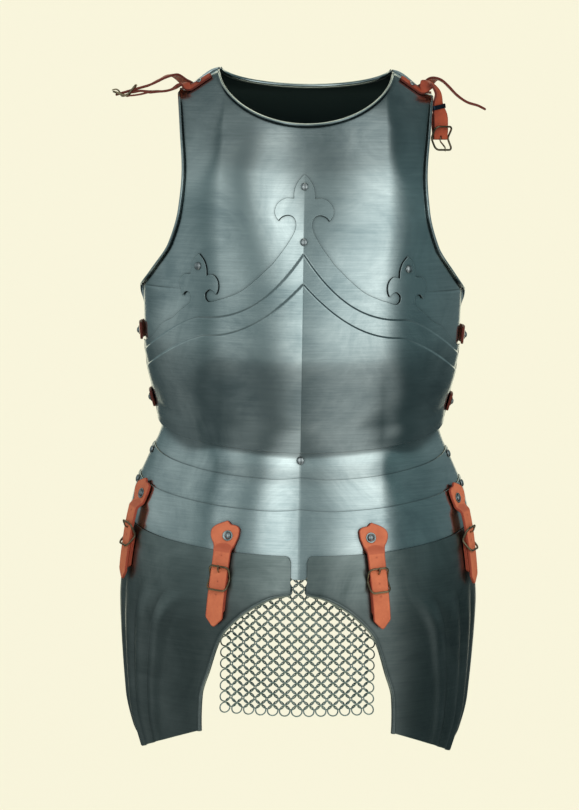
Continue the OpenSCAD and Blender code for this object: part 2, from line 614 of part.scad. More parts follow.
module tasset_buckle(a, s) {
    on_strap(a, s, buckle_drop, strap_out) buckle_frame();
}
module tasset_prong(a, s) {
    on_strap(a, s, buckle_drop, strap_out) prong();
}
module head_rivet(a, s) {
    color(steel) on_strap(a, s, 0, lame_out + strap_gap + strap_t + rivet_seat) washer_rivet();
}
strap_places = [[inner_strap_a, hem_s + inner_rivet_rise], [outer_strap_a, hem_s + outer_rivet_rise]];
module tasset_straps() {
    for (q = strap_places) tasset_strap(q[0], q[1]);
}
module tasset_chapes() {
    for (q = strap_places) tasset_chape(q[0], q[1]);
}
module tasset_buckles() {
    for (q = strap_places) tasset_buckle(q[0], q[1]);
}
module tasset_prongs() {
    for (q = strap_places) tasset_prong(q[0], q[1]);
}
module head_rivets() {
    for (q = strap_places) head_rivet(q[0], q[1]);
}
module both_sides() {
    children();
    mirror([1, 0, 0]) children();
}

// Side straps: the tongue from the breastplate passes back through a buckle on the backplate
function around(a, s, out) = a <= 90 ? front(a, s, out) : back(180 - a, s, out);
function around_normal(a, s) = unit(cross(around(a + 2, s, 0) - around(a - 2, s, 0),
    around(a, s + 6, 0) - around(a, s - 6, 0)));
tongue_front_out = plackart_out + 2 * step_h + plate_t / 2 + 1.5 * strap_gap + strap_t / 2;
side_chape_out = plate_t / 2 - back_space + 2 * strap_gap + side_chape_t / 2;
tongue_back_out = side_chape_out + side_chape_t / 2 + strap_gap + strap_t / 2;
function side_out(a, s) = mix(tongue_front_out + flare(s - strap_w / 2), tongue_back_out, ease((a - 88) / 14));
side_heights = [armpit_s - 52, armpit_s - 128];
side_buckle_a = 112;
side_chape_a = side_buckle_a + 1;
side_sag = 0.45;
side_tongue = [[77, 8], [79, 18], [82, strap_w], [86, strap_w], [90, strap_w], [94, strap_w], [98, strap_w],
    [103, strap_w], [108, strap_w], [113, strap_w], [118, strap_w], [124, strap_w], [130, strap_w], [134, 5]];
module on_side(a, s, out) {
    stand(around(a, s, out), around_normal(a, s), around(a - 3, s, out) - around(a + 3, s, out)) children();
}
module side_strap(s) {
    color(leather) difference() {
        ribbon([for (r = side_tongue) [around(r[0], s, side_out(r[0], s)), around_normal(r[0], s)]],
            [for (r = side_tongue) r[1]], strap_t);
        for (k = [-1:1])
            on_side(side_buckle_a, s, tongue_back_out) holes([k * hole_pitch - prong_y]);
    }
}
module side_chape(s) {
    color(leather) ribbon([for (k = [0:5])
        let (a = side_chape_a + 5 * k) [around(a, s, side_chape_out), around_normal(a, s)]],
        [for (k = [0:5]) strap_w - 5 * strap_gap], side_chape_t);
}
module side_straps() {
    for (s = side_heights) side_strap(s);
}
module side_chapes() {
    for (s = side_heights) side_chape(s);
}
module side_buckles() {
    for (s = side_heights) on_side(side_buckle_a, s, tongue_back_out - side_sag) buckle_frame();
}
module side_prongs() {
    for (s = side_heights) on_side(side_buckle_a, s, tongue_back_out - side_sag) prong();
}
module side_strap_rivets() {
    for (s = side_heights)
        color(steel) on_side(82, s, side_out(82, s) + strap_t / 2 + rivet_seat) washer_rivet();
}
module side_chape_rivets() {
    for (s = side_heights)
        color(steel) on_side(side_buckle_a + 28, s, side_chape_out + side_chape_t / 2 + rivet_seat) rivet();
}

// Shoulder straps: seated on the plates, then free, as points and normals
seat_out = plate_t / 2 + strap_gap + strap_t / 2;
seat_drop = 5;
seat_xs = [for (d = [36.5, 28.5, 20.5, 13.5]) shoulder_w / 2 - d];
// Point beyond the outer end of the shoulder edge
function beside(x, y, z) = [shoulder_w / 2 + x, y, shoulder_s - shoulder_fall + z];
function seat(x, out) =
    let (s = shoulder_s - fall(x) - seat_drop, a = asin(x / curve(s, half_widths)), n = front_normal(a, s))
    [front(a, s) + n * out, n];
function back_seat(x, out) =
    let (s = shoulder_s - fall(x) - seat_drop, a = asin(x / curve(s, half_widths)), n = back_normal(a, s))
    [back(a, s, -back_space) + n * (out + rivet_seat), n];
function seats() = [for (x = seat_xs) seat(x, seat_out)];
function back_seats() = [for (x = seat_xs) back_seat(x, seat_out)];
closed_c = beside(61.5, 0, -5);
closed_l = [cos(17), 0, -sin(17)];
closed_n = [sin(17), 0, cos(17)];
open_bar = beside(10.5, -12.5, -52);
open_l = [0, 0, -1];
open_n = unit([0.55, -0.83, 0]);
open_c = open_bar + open_n * bar_lift;
end_gap = buckle_d / 2 + strap_gap;
function widths_for(path, tip) = [for (k = [0:len(path) - 1])
    k == 0 ? strap_w * 0.6 : k == len(path) - 1 ? tip : strap_w];
tongue_left = concat(back_seats(), [
    [beside(-3.5, 22, 8), [0.1, 0.1, 1]], [beside(7.5, 16, 14), [0.1, 0, 1]], [beside(19.5, 7, 11), [0.3, 0, 1]],
    [closed_c - closed_l * 28, closed_n], [closed_c - closed_l * 14, closed_n], [closed_c, closed_n],
    [closed_c + closed_l * 14, closed_n], [closed_c + closed_l * 20, closed_n], [closed_c + closed_l * 27, closed_n]]);
buckle_strap_left = concat(seats(), [
    [beside(-3.5, -15, 5), [0.4, 0, 1]], [beside(7.5, -12, -1), [0.4, 0, 1]], [beside(21.5, -6, -4), [0.1, 0, 1]],
    [beside(34.5, -1, -4.5), closed_n],
    [closed_c - closed_l * (bar_y + end_gap) - closed_n * (bar_lift + 0.2), closed_n],
    [closed_c - closed_l * end_gap - closed_n * bar_lift, closed_n]]);
tongue_right = concat(back_seats(), [
    [beside(-4.5, 22, 8), [0.1, 0.1, 1]], [beside(4, 17, 14), [0.3, 0, 1]], [beside(11.5, 13, 9), [0.8, 0, 0.6]],
    [beside(19.5, 11, -2), [0.75, 0, 0.6]], [beside(28.5, 9, -11), [0.6, 0, 0.8]], [beside(40.5, 7, -16), [0.3, 0, 1]],
    [beside(53.5, 5, -19), [0.2, 0, 1]], [beside(62.5, 4, -20), [0.1, 0, 1]]]);
buckle_strap_right = concat(seats(), [
    [beside(-3.5, -15, 10), [0.5, -0.1, 0.8]], [beside(6.5, -14.5, 0), [0.9, -0.3, 0.3]],
    [beside(7.5, -14, -17), [0.75, -0.6, 0.1]],
    [open_bar - open_l * 23, open_n], [open_bar - open_l * 14, open_n], [open_bar - open_l * end_gap, open_n]]);
module shoulder_strap(path, tip) {
    color(leather) ribbon(path, widths_for(path, tip), strap_t);
}
module shoulder_tongue_left() {
    color(leather) difference() {
        ribbon(tongue_left, widths_for(tongue_left, 5), strap_t);
        stand(closed_c, closed_n, closed_l) holes([-prong_y, hole_pitch - prong_y]);
    }
}
module shoulder_tongue_right() {
    color(leather) difference() {
        ribbon(tongue_right, widths_for(tongue_right, 5), strap_t);
        for (k = [8, 10]) stand(tongue_right[k][0], [0.25, 0, 1] / norm([0.25, 0, 1]), [1, 0, 0]) holes([0]);
    }
}
module closed_buckle() {
    stand(closed_c, closed_n, closed_l) buckle_frame();
}
module closed_prong() {
    stand(closed_c, closed_n, closed_l) prong();
}
module open_buckle() {
    stand(open_c, open_n, open_l) buckle_frame();
}
module open_prong() {
    knee = [0, bar_y - 2.9, prong_top - 0.5];
    tip = [0, bar_y + 1, prong_top];
    color(brass) stand(open_c, open_n, open_l) {
        rod([0, bar_reach + strap_gap, -bar_lift], knee, prong_d);
        rod(knee, tip, prong_d);
        for (p = [knee, tip]) translate(p) sphere(d = prong_d + 0.1, $fn = 64);
    }
}
keeper_t = 1.2;
module strap_keeper() {
    q = buckle_strap_right[6];
    n = unit(q[1]);
    inside = [strap_w + 2 * strap_gap + 1, 5, strap_t + 2 * strap_gap + 1.4];
    color(brass) stand(q[0], n, unit(buckle_strap_right[5][0] - buckle_strap_right[7][0])) difference() {
        cube(inside + [2, 0, 2] * keeper_t, center = true);
        cube(inside + [0, 1, 0], center = true);
    }
}
module shoulder_rivets(behind) {
    out = seat_out + strap_t / 2 + rivet_seat;
    x = (seat_xs[1] + seat_xs[2]) / 2;
    q = behind ? back_seat(x, out) : seat(x, out);
    color(steel) both_sides() stand(q[0], q[1], [1, 0, 0]) washer_rivet();
}

breastplate();
plackart();
plackart_rivets();
backplate();
fauld_lame(1);  // fauld_lame_1
fauld_lame(2);  // fauld_lame_2
fauld_lame(3);  // fauld_lame_3
fauld_rivets_1();
side_rivets(2);  // fauld_rivets_2
side_rivets(3);  // fauld_rivets_3
culet_lame(1);  // culet_lame_1
culet_lame(2);  // culet_lame_2
culet_lame(3);  // culet_lame_3
culet_rivets(1);  // culet_rivets_1
culet_rivets(2);  // culet_rivets_2
culet_rivets(3);  // culet_rivets_3
mirror([1, 0, 0]) tasset();  // tasset_left
tasset();  // tasset_right
mail_skirt();
mirror([1, 0, 0]) tasset_straps();  // tasset_straps_left
tasset_straps();  // tasset_straps_right
both_sides() head_rivets();  // tasset_head_rivets
mirror([1, 0, 0]) tasset_chapes();  // tasset_chapes_left
tasset_chapes();  // tasset_chapes_right
mirror([1, 0, 0]) tasset_buckles();  // tasset_buckles_left
tasset_buckles();  // tasset_buckles_right
mirror([1, 0, 0]) tasset_prongs();  // tasset_prongs_left
tasset_prongs();  // tasset_prongs_right
mirror([1, 0, 0]) side_straps();  // side_straps_left
side_straps();  // side_straps_right
both_sides() side_strap_rivets();
mirror([1, 0, 0]) side_chapes();  // side_chapes_left
side_chapes();  // side_chapes_right
mirror([1, 0, 0]) side_buckles();  // side_buckles_left
side_buckles();  // side_buckles_right
mirror([1, 0, 0]) side_prongs();  // side_prongs_left
side_prongs();  // side_prongs_right
both_sides() side_chape_rivets();
mirror([1, 0, 0]) shoulder_strap(buckle_strap_left, strap_w);  // shoulder_buckle_strap_left
mirror([1, 0, 0]) closed_buckle();  // shoulder_buckle_left
mirror([1, 0, 0]) closed_prong();  // shoulder_prong_left
shoulder_strap(buckle_strap_right, strap_w);  // shoulder_buckle_strap_right
open_buckle();  // shoulder_buckle_right
open_prong();  // shoulder_prong_right
strap_keeper();
mirror([1, 0, 0]) shoulder_tongue_left();
shoulder_tongue_right();
shoulder_rivets(false);  // front_strap_rivets
shoulder_rivets(true);  // back_strap_rivets
mail_band();
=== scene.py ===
# %% [markdown]
# # A steel cuirass with fleur-de-lis plackart, fauld, tassets and mail
#
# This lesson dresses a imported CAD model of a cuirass. The model fixes every size and every joint;
# here each plate gets its rolled edges, fine steps and polished steel, each strap its leather,
# and the gap between the tassets its mail. The first cell loads the fixed frame and keeps its box.

# %% Load the frame
import math
import bpy
import numpy as np
from mathutils import Matrix, Vector
from mathutils.geometry import delaunay_2d_cdt


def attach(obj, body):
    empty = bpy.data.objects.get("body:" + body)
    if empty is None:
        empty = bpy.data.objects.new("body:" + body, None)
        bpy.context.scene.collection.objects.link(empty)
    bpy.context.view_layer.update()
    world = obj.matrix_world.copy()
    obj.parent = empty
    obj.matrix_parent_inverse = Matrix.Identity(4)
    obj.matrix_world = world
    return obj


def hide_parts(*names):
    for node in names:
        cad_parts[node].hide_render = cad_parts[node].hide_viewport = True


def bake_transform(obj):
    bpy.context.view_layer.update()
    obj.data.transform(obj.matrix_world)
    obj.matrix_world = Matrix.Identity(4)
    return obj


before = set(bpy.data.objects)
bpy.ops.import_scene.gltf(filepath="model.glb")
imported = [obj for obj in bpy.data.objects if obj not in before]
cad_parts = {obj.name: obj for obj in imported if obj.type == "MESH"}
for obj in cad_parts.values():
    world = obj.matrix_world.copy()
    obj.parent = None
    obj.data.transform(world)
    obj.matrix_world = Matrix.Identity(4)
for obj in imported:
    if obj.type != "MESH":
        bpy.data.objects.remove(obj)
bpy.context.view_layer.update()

# %% [markdown]
# ## The camera
#
# A product photograph of armour is taken with a long lens from a few metres, so that the plates
# keep their proportions. The lens follows from two facts: the distance, 3.2 m, and how many pixels
# a millimetre takes in the picture. The camera looks down by 6 degrees and leans by almost one.

# %% Camera
camera = bpy.data.objects.new("camera", bpy.data.cameras.new("camera"))
bpy.context.scene.collection.objects.link(camera)
bpy.context.scene.camera = camera
camera.data.lens = 123.7
camera.data.clip_end = 60
distance, look_down, lean = 3.2, math.radians(6.0), math.radians(0.85)
aim = Vector((-0.013, 0, -0.374))
camera.location = aim + Vector((0, -math.cos(look_down), math.sin(look_down))) * distance
camera.rotation_euler = (Matrix.Rotation(math.pi / 2 - look_down, 3, "X")
                         @ Matrix.Rotation(lean, 3, "Z")).to_euler()
print("camera at", [round(v, 3) for v in camera.location])

# %% [markdown]
# ## The body's form
#
# Every plate of a cuirass follows one body. Three tables say how wide the body is and how deep it
# is before and behind at each height, and a fourth says where the arm openings run. A smooth curve
# goes through each of them without overshooting. Heights are in millimetres from the shoulders, as
# on the model's own drawing, so they are negative below them.

# %% Tables of the body
SHOULDER, ARMPIT, WAIST, LAME_STEP = 10.0, -237.0, -391.0, 34.0
HEM = WAIST - 2 * LAME_STEP - 53
CHEST_R, WAIST_R, HIP_R = 181.5, 156.5, 192.0
BREAST_D, WAIST_D, HIP_D = 143.0, 118.0, 148.0
BACK_D, BACK_WAIST_D, CULET_D = 120.0, 86.0, 118.0
DIP, KEEL_H, KEEL_W, PLATE_T, LAYER = 27.0, 8.0, 85.0, 1.2, 1.8
NECK_W, SHOULDER_W, FALL, TASSET_L = 198.0, 285.0, 24.0, 240.0

half_widths = [
    (HEM - 1.08 * TASSET_L, HIP_R - 22), (HEM - 0.79 * TASSET_L, HIP_R - 4), (HEM - 0.21 * TASSET_L, HIP_R + 4),
    (HEM, HIP_R),
    (WAIST - 2 * LAME_STEP, HIP_R - 11), (WAIST - LAME_STEP, HIP_R - 25), (WAIST, WAIST_R),
    (WAIST * 0.6 + ARMPIT * 0.4, WAIST_R + 0.6 * (CHEST_R - WAIST_R)), (ARMPIT - 50, CHEST_R - 2),
    (ARMPIT, CHEST_R), (ARMPIT / 2, CHEST_R + 8), (SHOULDER, CHEST_R + 8)]
front_depths = [
    (HEM - 1.08 * TASSET_L, HIP_D - 4), (HEM - 0.21 * TASSET_L, HIP_D + 5), (HEM, HIP_D),
    (WAIST - 2 * LAME_STEP, HIP_D - 11),
    (WAIST - LAME_STEP, (HIP_D + WAIST_D) / 2 - 4), (WAIST, WAIST_D),
    (WAIST * 0.7 + ARMPIT * 0.3, WAIST_D + 0.62 * (BREAST_D - WAIST_D)), (ARMPIT - 62, BREAST_D),
    (ARMPIT, BREAST_D * 0.97), (ARMPIT * 0.75, BREAST_D * 0.91), (ARMPIT * 0.45, BREAST_D * 0.8),
    (ARMPIT * 0.23, BREAST_D * 0.6), (ARMPIT * 0.06, BREAST_D * 0.34), (SHOULDER * 0.55, BREAST_D * 0.14),
    (SHOULDER, 4)]
back_depths = [
    (HEM, CULET_D), (WAIST - 2 * LAME_STEP, CULET_D - 10), (WAIST - LAME_STEP, (CULET_D + BACK_WAIST_D) / 2 - 4),
    (WAIST, BACK_WAIST_D), (ARMPIT - 60, BACK_D * 0.92), (ARMPIT, BACK_D), (ARMPIT * 0.6, BACK_D),
    (ARMPIT * 0.27, BACK_D * 0.9), (ARMPIT * 0.08, BACK_D * 0.7), (0, BACK_D * 0.45), (SHOULDER, 4)]
arm_widths = [
    (ARMPIT, CHEST_R), (ARMPIT + 22, CHEST_R - 16), (ARMPIT + 50, CHEST_R - 34), (ARMPIT + 90, 136.5),
    (ARMPIT + 128, 133.5), (ARMPIT * 0.25, 137.5), (SHOULDER - FALL, SHOULDER_W / 2)]
print("hem at", HEM, "mm")

# %% [markdown]
# The curve is a monotone cubic: between two rows of a table it is a Hermite piece whose slopes are
# harmonic means of the neighbouring slopes. NumPy works it out for whole sheets of points at once.

# %% Smooth curves and the body's surface
SIDES = (("left", -1), ("right", 1))

def hermite(u, a, b, ka, kb):
    return (a * (1 + 2 * u) * (1 - u) ** 2 + ka * u * (1 - u) ** 2
            + b * u * u * (3 - 2 * u) - kb * u * u * (1 - u))

def curve(x, table):
    xs, ys = np.array(table, float).T
    sec = np.diff(ys) / np.diff(xs)
    slope = np.concatenate([[sec[0]], np.zeros(len(xs) - 2), [sec[-1]]])
    same = sec[:-1] * sec[1:] > 0
    slope[1:-1][same] = (2 * sec[:-1] * sec[1:] / np.where(same, sec[:-1] + sec[1:], 1))[same]
    i = np.clip(np.searchsorted(xs, x, side="left") - 1, 0, len(xs) - 2)
    h = xs[i + 1] - xs[i]
    return hermite(np.clip((x - xs[i]) / h, 0, 1), ys[i], ys[i + 1], h * slope[i], h * slope[i + 1])

def lengths(p):
    """Length of a line of points up to each of them."""
    return np.concatenate([[0], np.cumsum(np.linalg.norm(np.diff(p, axis=0), axis=1))])

def ease(x):
    u = np.clip(x, 0, 1)
    return u * u * (3 - 2 * u)

def mix(a, b, t):
    return a * (1 - t) + b * t

def unit(v):
    return v / np.maximum(np.linalg.norm(v, axis=-1, keepdims=True), 1e-12)

def sind(a):
    return np.sin(np.radians(a))

def cosd(a):
    return np.cos(np.radians(a))

def fall(x):
    return FALL * ease((np.abs(x) - NECK_W / 2 + 9) / (SHOULDER_W / 2 - NECK_W / 2 + 9))

def dip(s):
    return DIP * ease((ARMPIT - s) / (ARMPIT - WAIST))

def keel(x, s):
    return (KEEL_H * ease((-s - 60) / 200) * (1 - 0.6 * ease((WAIST + 60 - s) / 90))
            * np.maximum(0, 1 - np.abs(x) / KEEL_W) ** 2)

def surface_point(a, s, out, depths):
    a, s, out = np.broadcast_arrays(np.asarray(a, float), np.asarray(s, float), np.asarray(out, float))
    x = (curve(s, half_widths) + out) * sind(a)
    return x, curve(np.minimum(SHOULDER, s + fall(x)), depths) + out, s, cosd(a)

def front(a, s, out=0.0):
    x, d, s, c = surface_point(a, s, out, front_depths)
    return np.stack([x, -d * c - keel(x, s), s - dip(s) * c], -1)

def back(a, s, out=0.0):
    x, d, s, c = surface_point(a, s, out, back_depths)
    return np.stack([x, d * np.where(c < 0, c, np.abs(c) ** 0.9), s], -1)

def surface_normal(place, a, s):
    step = 0.4
    n = unit(np.cross(place(a + step, s) - place(a - step, s), place(a, s + step) - place(a, s - step)))
    return n if place is front else -n

print("waist half width", float(curve(np.array(WAIST), half_widths)))

# %% [markdown]
# ## The room
#
# Polished steel has hardly any colour of its own: it shows the room. So the room comes before the
# metal. A cream cove stands behind and below, and it is bright for camera, mirror and glass rays,
# while lamps of a plain strength light the rest. The world gives soft light from everywhere. Its
# nodes are made by one helper, which also draws the wires.

# %% World and node helpers
scene = bpy.context.scene
scene.view_settings.view_transform = "Standard"
CREAM = (0.973, 0.939, 0.738, 1)

def node_tree(owner):
    owner.use_nodes = True
    owner.node_tree.nodes.clear()
    return owner.node_tree

def add(tree, kind, inputs=None, **values):
    """New node. A value is a setting, a constant for a socket, or a node or output that feeds it."""
    node = tree.nodes.new("ShaderNode" + kind)
    for key, value in {**values, **(inputs or {})}.items():
        if isinstance(value, bpy.types.Node):
            value = value.outputs[0]
        if isinstance(value, bpy.types.NodeSocket):
            tree.links.new(value, node.inputs[key])
        elif isinstance(key, int) or key in node.inputs:
            node.inputs[key].default_value = value
        else:
            setattr(node, key, value)
    return node

def seen_rays(tree):
    """1 for camera, mirror and glass rays, and 0 for all others."""
    path = add(tree, "LightPath").outputs
    either = add(tree, "Math", {0: path["Is Camera Ray"], 1: path["Is Glossy Ray"]}, operation="MAXIMUM")
    return add(tree, "Math", {0: either, 1: path["Is Transmission Ray"]}, operation="MAXIMUM")

world = scene.world = bpy.data.worlds.new("world")
tree = node_tree(world)
soft = add(tree, "Background", Color=(0.92, 0.96, 1, 1), Strength=0.62)
seen = add(tree, "Background", Color=CREAM, Strength=1.0)
add(tree, "OutputWorld", {0: add(tree, "MixShader", {0: seen_rays(tree), 1: soft, 2: seen})})

print("world strength", soft.inputs["Strength"].default_value)

# %% [markdown]
# A cove is a floor that bends up into a wall, so that no corner shows behind the armour. Its paper
# glows for the rays that see it, which keeps its colour even, and a tenth of it stays plain paper, which
# keeps the shadow. From its back it is clear, so that the scene can be looked at from behind too.

# %% Cove and soft light
paper = bpy.data.materials.new("cream_paper")
tree = node_tree(paper)
matt = add(tree, "BsdfDiffuse", Color=CREAM)
glow = add(tree, "Emission", Color=CREAM, Strength=1.0)
share = add(tree, "Math", {0: seen_rays(tree), 1: 0.9}, operation="MULTIPLY")
card = add(tree, "MixShader", {0: share, 1: matt, 2: glow})
behind = add(tree, "NewGeometry").outputs["Backfacing"]
add(tree, "OutputMaterial", {0: add(tree, "MixShader", {0: behind, 1: card, 2: add(tree, "BsdfTransparent")})})

def room(name, points, faces, material):
    """Part of the room, which is no piece of the cuirass."""
    mesh = bpy.data.meshes.new(name)
    mesh.from_pydata(points, [], faces)
    mesh.materials.append(material)
    thing = bpy.data.objects.new(name, mesh)
    scene.collection.objects.link(thing)
    return thing

BEND_R, FLOOR_Z, WALL_Y, COVE_REACH = 1.4, -1.15, 3.0, 9
cove_line = [(-COVE_REACH, FLOOR_Z)] + [
    (WALL_Y - BEND_R + BEND_R * math.sin(t), FLOOR_Z + BEND_R - BEND_R * math.cos(t))
    for t in np.linspace(0, math.pi / 2, 13)] + [(WALL_Y, 6)]
cove = room("cove", [(x, y, z) for y, z in cove_line for x in (-COVE_REACH, COVE_REACH)],
            [(2 * i, 2 * i + 1, 2 * i + 3, 2 * i + 2) for i in range(len(cove_line) - 1)], paper)
cove.data.shade_smooth()

def softbox(name, azimuth, elevation, reach, wide, high, watts, color):
    lamp = bpy.data.lights.new(name, "AREA")
    lamp.shape, lamp.size, lamp.size_y, lamp.energy, lamp.color = "RECTANGLE", wide, high, watts, color
    box = bpy.data.objects.new(name, lamp)
    a, e = math.radians(azimuth), math.radians(elevation)
    box.location = aim + Vector((math.sin(a) * math.cos(e), -math.cos(a) * math.cos(e), math.sin(e))) * reach
    box.rotation_euler = (aim - box.location).to_track_quat("-Z", "Y").to_euler()
    box.visible_glossy = False
    scene.collection.objects.link(box)

softbox("key", 32, 24, 2.4, 1.1, 1.3, 26, (1, 0.99, 0.96))
softbox("fill", -55, 15, 2.6, 1.2, 1.6, 12, (0.94, 0.98, 1))
print("cove and", len(bpy.data.lights), "softboxes")

# %% [markdown]
# ## What the steel mirrors
#
# Photographers put a ring of cards round polished armour: pale ones where a highlight should run,
# dark ones where the form should turn away. This ring is only seen in reflections. Its brightness
# is painted by direction, and it stays open behind, so that every outline keeps a pale rim.

# %% Ring of cards
def ramp(tree, stops, drive):
    """Colour ramp through the stops (position, colour), driven by a node or an output."""
    node = add(tree, "ValToRGB", {0: drive})
    elements = node.color_ramp.elements
    while len(elements) < len(stops):
        elements.new(0.5)
    for element, (position, color) in zip(elements, stops):
        element.position, element.color = position, (*color, 1)
    return node

def blended(tree, factor, a, b, **settings):
    return add(tree, "Mix", {"Factor": factor, "A": a, "B": b}, **settings).outputs["Result"]

DARK_CARD, PALE_CARD = np.array((0.032, 0.078, 0.084)), np.array((0.94, 1.0, 0.98))
RING, LOW, HIGH, OPEN_BEHIND = 2.6, -1.1, 2.3, 24

around_cards = [
    (-180, 0.1), (-135, 0.12), (-100, 0.34), (-75, 0.3), (-62, 0.1), (-54, 0.22), (-45, 0.5), (-38, 0.4),
    (-33, 0.08), (-27, 0.1), (-22, 1.35), (-12, 1.4), (-7, 0.45), (3, 0.5), (10, 0.2), (20, 0.28), (30, 1.0),
    (47, 1.15), (57, 0.3), (65, 0.04), (100, 0.1), (135, 0.12), (180, 0.1)]
card_heights = [(LOW, 0.36), (-0.8, 0.42), (-0.3, 0.95), (0.5, 1.0), (1.2, 0.8), (2.0, 0.55), (HIGH, 0.5)]

cards = bpy.data.materials.new("cards")
tree = node_tree(cards)
place = add(tree, "SeparateXYZ", {0: add(tree, "NewGeometry").outputs["Position"]}).outputs
minus_y = add(tree, "Math", {0: place["Y"], 1: -1}, operation="MULTIPLY")
turn = add(tree, "Math", {0: place["X"], 1: minus_y}, operation="ARCTAN2")
round_way = add(tree, "MapRange", {"Value": turn, "From Min": -math.pi, "From Max": math.pi})
up_way = add(tree, "MapRange", {"Value": place["Z"], "From Min": LOW, "From Max": HIGH})
side_paint = ramp(tree, [((a + 180) / 360, (DARK_CARD + (PALE_CARD - DARK_CARD) * v).tolist())
                         for a, v in around_cards], round_way)
height_paint = ramp(tree, [((z - LOW) / (HIGH - LOW), (v, v, v)) for z, v in card_heights], up_way)
painted = blended(tree, 1, side_paint, height_paint, data_type="RGBA", blend_type="MULTIPLY")
add(tree, "OutputMaterial", {0: add(tree, "Emission", Color=painted)})

turns = [math.radians(a) for a in np.linspace(-180 + OPEN_BEHIND, 180 - OPEN_BEHIND, 89)]
levels = ([(0.45, LOW), (RING, LOW + 0.01)] + [(RING, z) for z in np.linspace(-1.0, 2.0, 7)]
          + [(1.3, HIGH), (0.3, 2.4)])
corners = np.array([(j, j + 1, len(turns) + j + 1, len(turns) + j) for j in range(len(turns) - 1)])
ring = room("cards", [(r * math.sin(a), -r * math.cos(a), z) for r, z in levels for a in turns],
            np.vstack([corners + i * len(turns) for i in range(len(levels) - 1)]).tolist(), cards)
ring.visible_camera = ring.visible_diffuse = ring.visible_shadow = ring.visible_transmission = False
print("cards over", 360 - 2 * OPEN_BEHIND, "degrees")

# %% [markdown]
# ## Steel
#
# The plates are polished by hand: fine lines run round the body, and the heat of the forge left
# cloudy patches that are a little duller. Noise stretched along the body gives the lines, a softer
# noise gives the clouds, and both change only the roughness, the tone and a very low relief. Narrow
# seams are darkened by occlusion, and the inside of a plate is dark and dull where the float
# attribute called edge says so. On the plackart that attribute also gives the rounded rim half of
# the dark inside tone, which is painted shade along its raised outline.

# %% Steel, rivets, mail and brass
# The second colour is the dark inside of a plate; at half strength it is also painted shade on the plackart's rounded
# rim.
SEAM_DARK, INSIDE_DARK_AND_RIM_SHADE, INSIDE_ROUGH = (0.012, 0.022, 0.022, 1), (0.04, 0.066, 0.07, 1), 0.55

def metal(name, color, dark, rough, cloud=0.5, grain=140, seam_reach=0.006):
    material = bpy.data.materials.new(name)
    tree = node_tree(material)
    where = add(tree, "TexCoord").outputs["Object"]
    edge = add(tree, "Attribute", attribute_name="edge").outputs["Fac"]
    stretch = add(tree, "Mapping", {0: where}, Scale=(5, 5, grain))
    lines = add(tree, "TexNoise", Vector=stretch, Scale=4.0, Detail=5.0, Roughness=0.7)
    clouds = add(tree, "TexNoise", Vector=where, Scale=11.0, Detail=6.0, Roughness=0.62, Distortion=0.8)
    pattern = blended(tree, 0.25, clouds, lines)
    tone = ramp(tree, [(0.32, dark), (0.62, color)], pattern)
    seam = add(tree, "AmbientOcclusion", samples=6, Distance=seam_reach).outputs["AO"]
    shaded = blended(tree, seam, SEAM_DARK, tone, data_type="RGBA")
    base = blended(tree, edge, shaded, INSIDE_DARK_AND_RIM_SHADE, data_type="RGBA")
    gloss = add(tree, "MapRange", {"Value": pattern, "From Min": 0.3, "From Max": 0.7,
                                   "To Min": rough + 0.1 * cloud, "To Max": rough - 0.08 * cloud})
    relief = add(tree, "Bump", Strength=0.02, Distance=0.002, Height=pattern)
    shader = add(tree, "BsdfPrincipled", {"Base Color": base}, Metallic=1.0, Normal=relief,
                 Roughness=blended(tree, edge, gloss, INSIDE_ROUGH))
    add(tree, "OutputMaterial", {0: shader})
    return material

steel = metal("plate_steel", (0.78, 0.88, 0.88), (0.38, 0.48, 0.5), 0.2)
plackart_steel = metal("plackart_steel", (0.74, 0.84, 0.84), (0.34, 0.44, 0.46), 0.22)
tasset_steel = metal("tasset_steel", (0.4, 0.46, 0.45), (0.18, 0.23, 0.225), 0.31)
rivet_steel = metal("rivet_steel", (0.62, 0.66, 0.67), (0.34, 0.38, 0.4), 0.3, grain=20, seam_reach=0.0012)
keeper_steel = metal("blued_steel", (0.045, 0.07, 0.11), (0.015, 0.025, 0.04), 0.3, grain=30, seam_reach=0.001)
wire_steel = metal("mail_wire", (0.62, 0.74, 0.71), (0.26, 0.36, 0.34), 0.32, grain=30, seam_reach=0.0008)
brass = metal("antique_brass", (0.46, 0.37, 0.23), (0.16, 0.125, 0.085), 0.33, cloud=0.9, grain=30,
              seam_reach=0.0008)
print("metals:", len([m for m in bpy.data.materials if m.use_nodes]) - 2)

# %% [markdown]
# ## Leather
#
# The straps are vegetable tanned and stained orange, with darker burnished edges. The same float
# attribute, edge, is written into every leather mesh as it is built, so the stain can darken there.
# Fine cells make the grain, and a slow noise makes the stain uneven.

# %% Tan and brown leather
def hide(name, color, deep, edge_color):
    material = bpy.data.materials.new(name)
    tree = node_tree(material)
    where = add(tree, "TexCoord").outputs["Object"]
    edge = add(tree, "Attribute", attribute_name="edge").outputs["Fac"]
    tone_mask = add(tree, "TexNoise", Vector=where, Scale=38.0, Detail=6.0, Roughness=0.65)
    tone = ramp(tree, [(0.3, deep), (0.65, color)], tone_mask)
    cells = add(tree, "TexVoronoi", Vector=where, Scale=1100.0)
    creases = add(tree, "TexNoise", Vector=where, Scale=260.0, Detail=4.0, Roughness=0.7)
    relief = add(tree, "Bump", Strength=0.35, Distance=0.0006, Height=blended(tree, 0.5, cells, creases))
    gloss = add(tree, "MapRange", {"Value": tone_mask, "To Min": 0.62, "To Max": 0.42})
    base = blended(tree, edge, tone, (*edge_color, 1), data_type="RGBA")
    shader = add(tree, "BsdfPrincipled", {"Base Color": base, "Specular IOR Level": 0.4}, Roughness=gloss,
                 Normal=relief)
    add(tree, "OutputMaterial", {0: shader})
    return material

